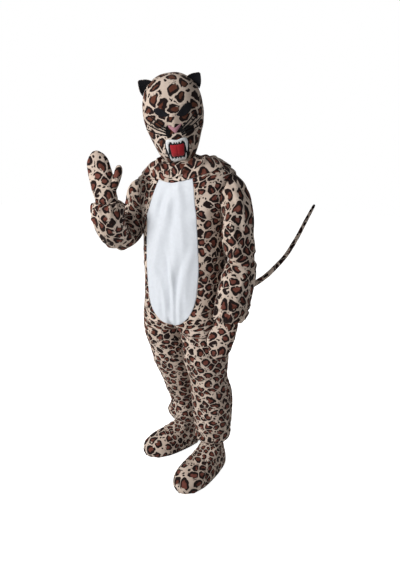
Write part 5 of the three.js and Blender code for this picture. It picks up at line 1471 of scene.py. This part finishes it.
# %% [markdown]
# Whiskers are four stiff black strands on each side of the nose. Each starts on the plush, leaves it by a
# small bow and ends a little off the cheek, so it is drawn on the face first and then lifted.

# %% Whiskers
WHISKER_POINTS, WHISKER_ROOT, WHISKER_TIP = 26, 2.7, 1.6
WHISKERS = table("root_x root_h tip_x tip_h bow off", [
    (16, -16, 74, 34, 6, 5), (18, -21, 82, 24, 7, 6), (20, -26, 88, 12, 7, 7), (21, -31, 92, -8, 6, 7)])


def whisker_line(side, row):
    t = np.linspace(0, 1, WHISKER_POINTS)
    h = row["root_h"] + (row["tip_h"] - row["root_h"]) * t
    across = side * (row["root_x"] + (row["tip_x"] - row["root_x"]) * t)
    p = face_at(across, h)
    n = np.cross(face_at(across + 0.8, h) - face_at(across - 0.8, h),
                 face_at(across, h + 0.8) - face_at(across, h - 0.8))
    n /= np.linalg.norm(n, axis=1, keepdims=True)
    n *= np.sign(np.sum(n * p, -1, keepdims=True))
    off = SEAM + 2.0 + row["bow"] * np.sin(np.pi * t) + row["off"] * t
    return on_head(p + n * off[:, None])


for word, side in (("left", 1), ("right", -1)):
    lines = [whisker_line(side, row) for row in WHISKERS]
    radii = [np.linspace(WHISKER_ROOT, WHISKER_TIP, WHISKER_POINTS) * MM] * len(lines)
    grow(f"whiskers_{word}", lines, radii, 8, STRAND)
    print("whiskers", [round(length_of(line), 3) for line in lines], "m long")
print("pieces:", len(pieces))

# %% [markdown]
# Each piece of cloth stands for its solid and says how it was cut.

# %% Riding and standing in for the solids
SIDES = ("left", "right")
PAIRS = {
    "suit_front_{}": "front_{}", "suit_back_{}": "back_{}", "arm_{}": "sleeve_{}", "eye_patch_{}": "eye_{}",
    "ear_felt_{}": "ear_{}_inner", "ear_plush_{}": "ear_{}_outer", "hand_{}_back": "mitten_{}_back",
    "hand_{}_palm": "mitten_{}_palm", "boot_cover_{}": "boot_{}_upper"}
SINGLE = {
    "belly_cloth": "belly_panel", "closing_strip": "back_placket", "mask_face": "mask_front",
    "mask_nape": "mask_back", "bib_cloth_front": "bib_front", "bib_cloth_back": "bib_back",
    "nose_patch": "nose", "mouth_black": "mouth_ground", "tongue_red": "tongue",
    "teeth_row_upper": "teeth_upper", "teeth_row_lower": "teeth_lower", "tail_stuffed": "tail"}
STANDS_FOR = {ours: [solid] for ours, solid in SINGLE.items()}
for word in SIDES:
    STANDS_FOR |= {ours.format(word): [solid.format(word)] for ours, solid in PAIRS.items()}
    STANDS_FOR["whiskers_" + word] = [f"whisker_{word}_{k}" for k in (1, 2, 3, 4)]
for piece in pieces:
    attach(piece, "root")
    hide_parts(*STANDS_FOR[piece.name])
for word in SIDES:
    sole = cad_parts[f"boot_{word}_sole"]
    sole.data.materials.clear()
    sole.data.materials.append(SOLE)
print("solids stood for:", sum(len(solids) for solids in STANDS_FOR.values()))

# %% [markdown]
# Studio: an all but white floor and surround, a broad soft light from the camera's left and a little above,
# and little fill, so that the far side of the mask and the left arm fall into soft shade. The floor and the
# surround look whiter to the camera than to the cloth, so that they don't wash out its shade.

# %% Floor
def shown_to_camera(tree, plain_shader, white_shader, out):
    """The camera sees one shader, and the light meets the other."""
    rays, pick = tree.nodes.new("ShaderNodeLightPath"), tree.nodes.new("ShaderNodeMixShader")
    for source, socket in ((rays.outputs["Is Camera Ray"], pick.inputs[0]), (plain_shader, pick.inputs[1]),
                           (white_shader, pick.inputs[2]), (pick.outputs[0], out)):
        tree.links.new(source, socket)


FLOOR_REACH, FLOOR_GAP, FLOOR_GLOW = 9.0, 0.0005, 0.90     # metres, metres, strength
floor_mesh = bpy.data.meshes.new("floor")
floor_mesh.from_pydata([(x * FLOOR_REACH, y * FLOOR_REACH, 0) for x, y in ((-1, -1), (1, -1), (1, 1), (-1, 1))],
                       [], [(0, 1, 2, 3)])
floor_material = bpy.data.materials.new("studio_floor")
floor_material.use_nodes = True
tree = floor_material.node_tree
paper, glow, both = (tree.nodes["Principled BSDF"], tree.nodes.new("ShaderNodeEmission"),
                     tree.nodes.new("ShaderNodeAddShader"))
paper.inputs["Base Color"].default_value = (0.93, 0.93, 0.93, 1)
paper.inputs["Roughness"].default_value = 0.9
glow.inputs["Color"].default_value = (1, 1, 1, 1)
glow.inputs["Strength"].default_value = FLOOR_GLOW
tree.links.new(paper.outputs[0], both.inputs[0])
tree.links.new(glow.outputs[0], both.inputs[1])
shown_to_camera(tree, paper.outputs[0], both.outputs[0], tree.nodes["Material Output"].inputs[0])
floor_mesh.materials.append(floor_material)
floor = stand("floor", floor_mesh)
floor.location.z = -SHOULDER_HEIGHT * MM - FLOOR_GAP
print("floor at", round(floor.location.z, 4))

# %% [markdown]
# Three soft lights: a broad key at the front right, a weak fill at the front left, and one from behind at
# the right, which rounds the back. The surround adds a little light from everywhere.

# %% Lights and surround
LIGHT_AIM = Vector((0, 0, -0.45))


def area_light(name, azimuth, height, distance, size, power, colour=(1, 1, 1)):
    """A soft light; azimuth 0 stands in front of the suit and grows towards its left."""
    light = bpy.data.lights.new(name, "AREA")
    light.shape, light.size, light.energy, light.color = "DISK", size, power, colour
    made, a = stand(name, light), math.radians(azimuth)
    made.location = (distance * math.sin(a), -distance * math.cos(a), height)
    made.rotation_euler = (LIGHT_AIM - made.location).to_track_quat("-Z", "Y").to_euler()


area_light("key", -28, 0.9, 2.9, 1.1, 92.0, (1.0, 0.985, 0.97))
area_light("front_fill", 36, 0.3, 3.4, 2.2, 7.0, (0.95, 0.97, 1.0))
area_light("back_right", -130, 0.8, 3.2, 1.4, 22.0)
world = bpy.data.worlds.new("studio")
world.use_nodes = True
tree = world.node_tree
sky, bright = tree.nodes["Background"], tree.nodes.new("ShaderNodeBackground")
for shader, strength in ((sky, 0.23), (bright, 1.0)):
    shader.inputs["Color"].default_value = (1.0, 1.0, 1.0, 1)
    shader.inputs["Strength"].default_value = strength
shown_to_camera(tree, sky.outputs[0], bright.outputs[0], tree.nodes["World Output"].inputs[0])
bpy.context.scene.world = world
bpy.context.scene.view_settings.view_transform = "Standard"
print("lights:", len(bpy.data.lights))

# %% [markdown]
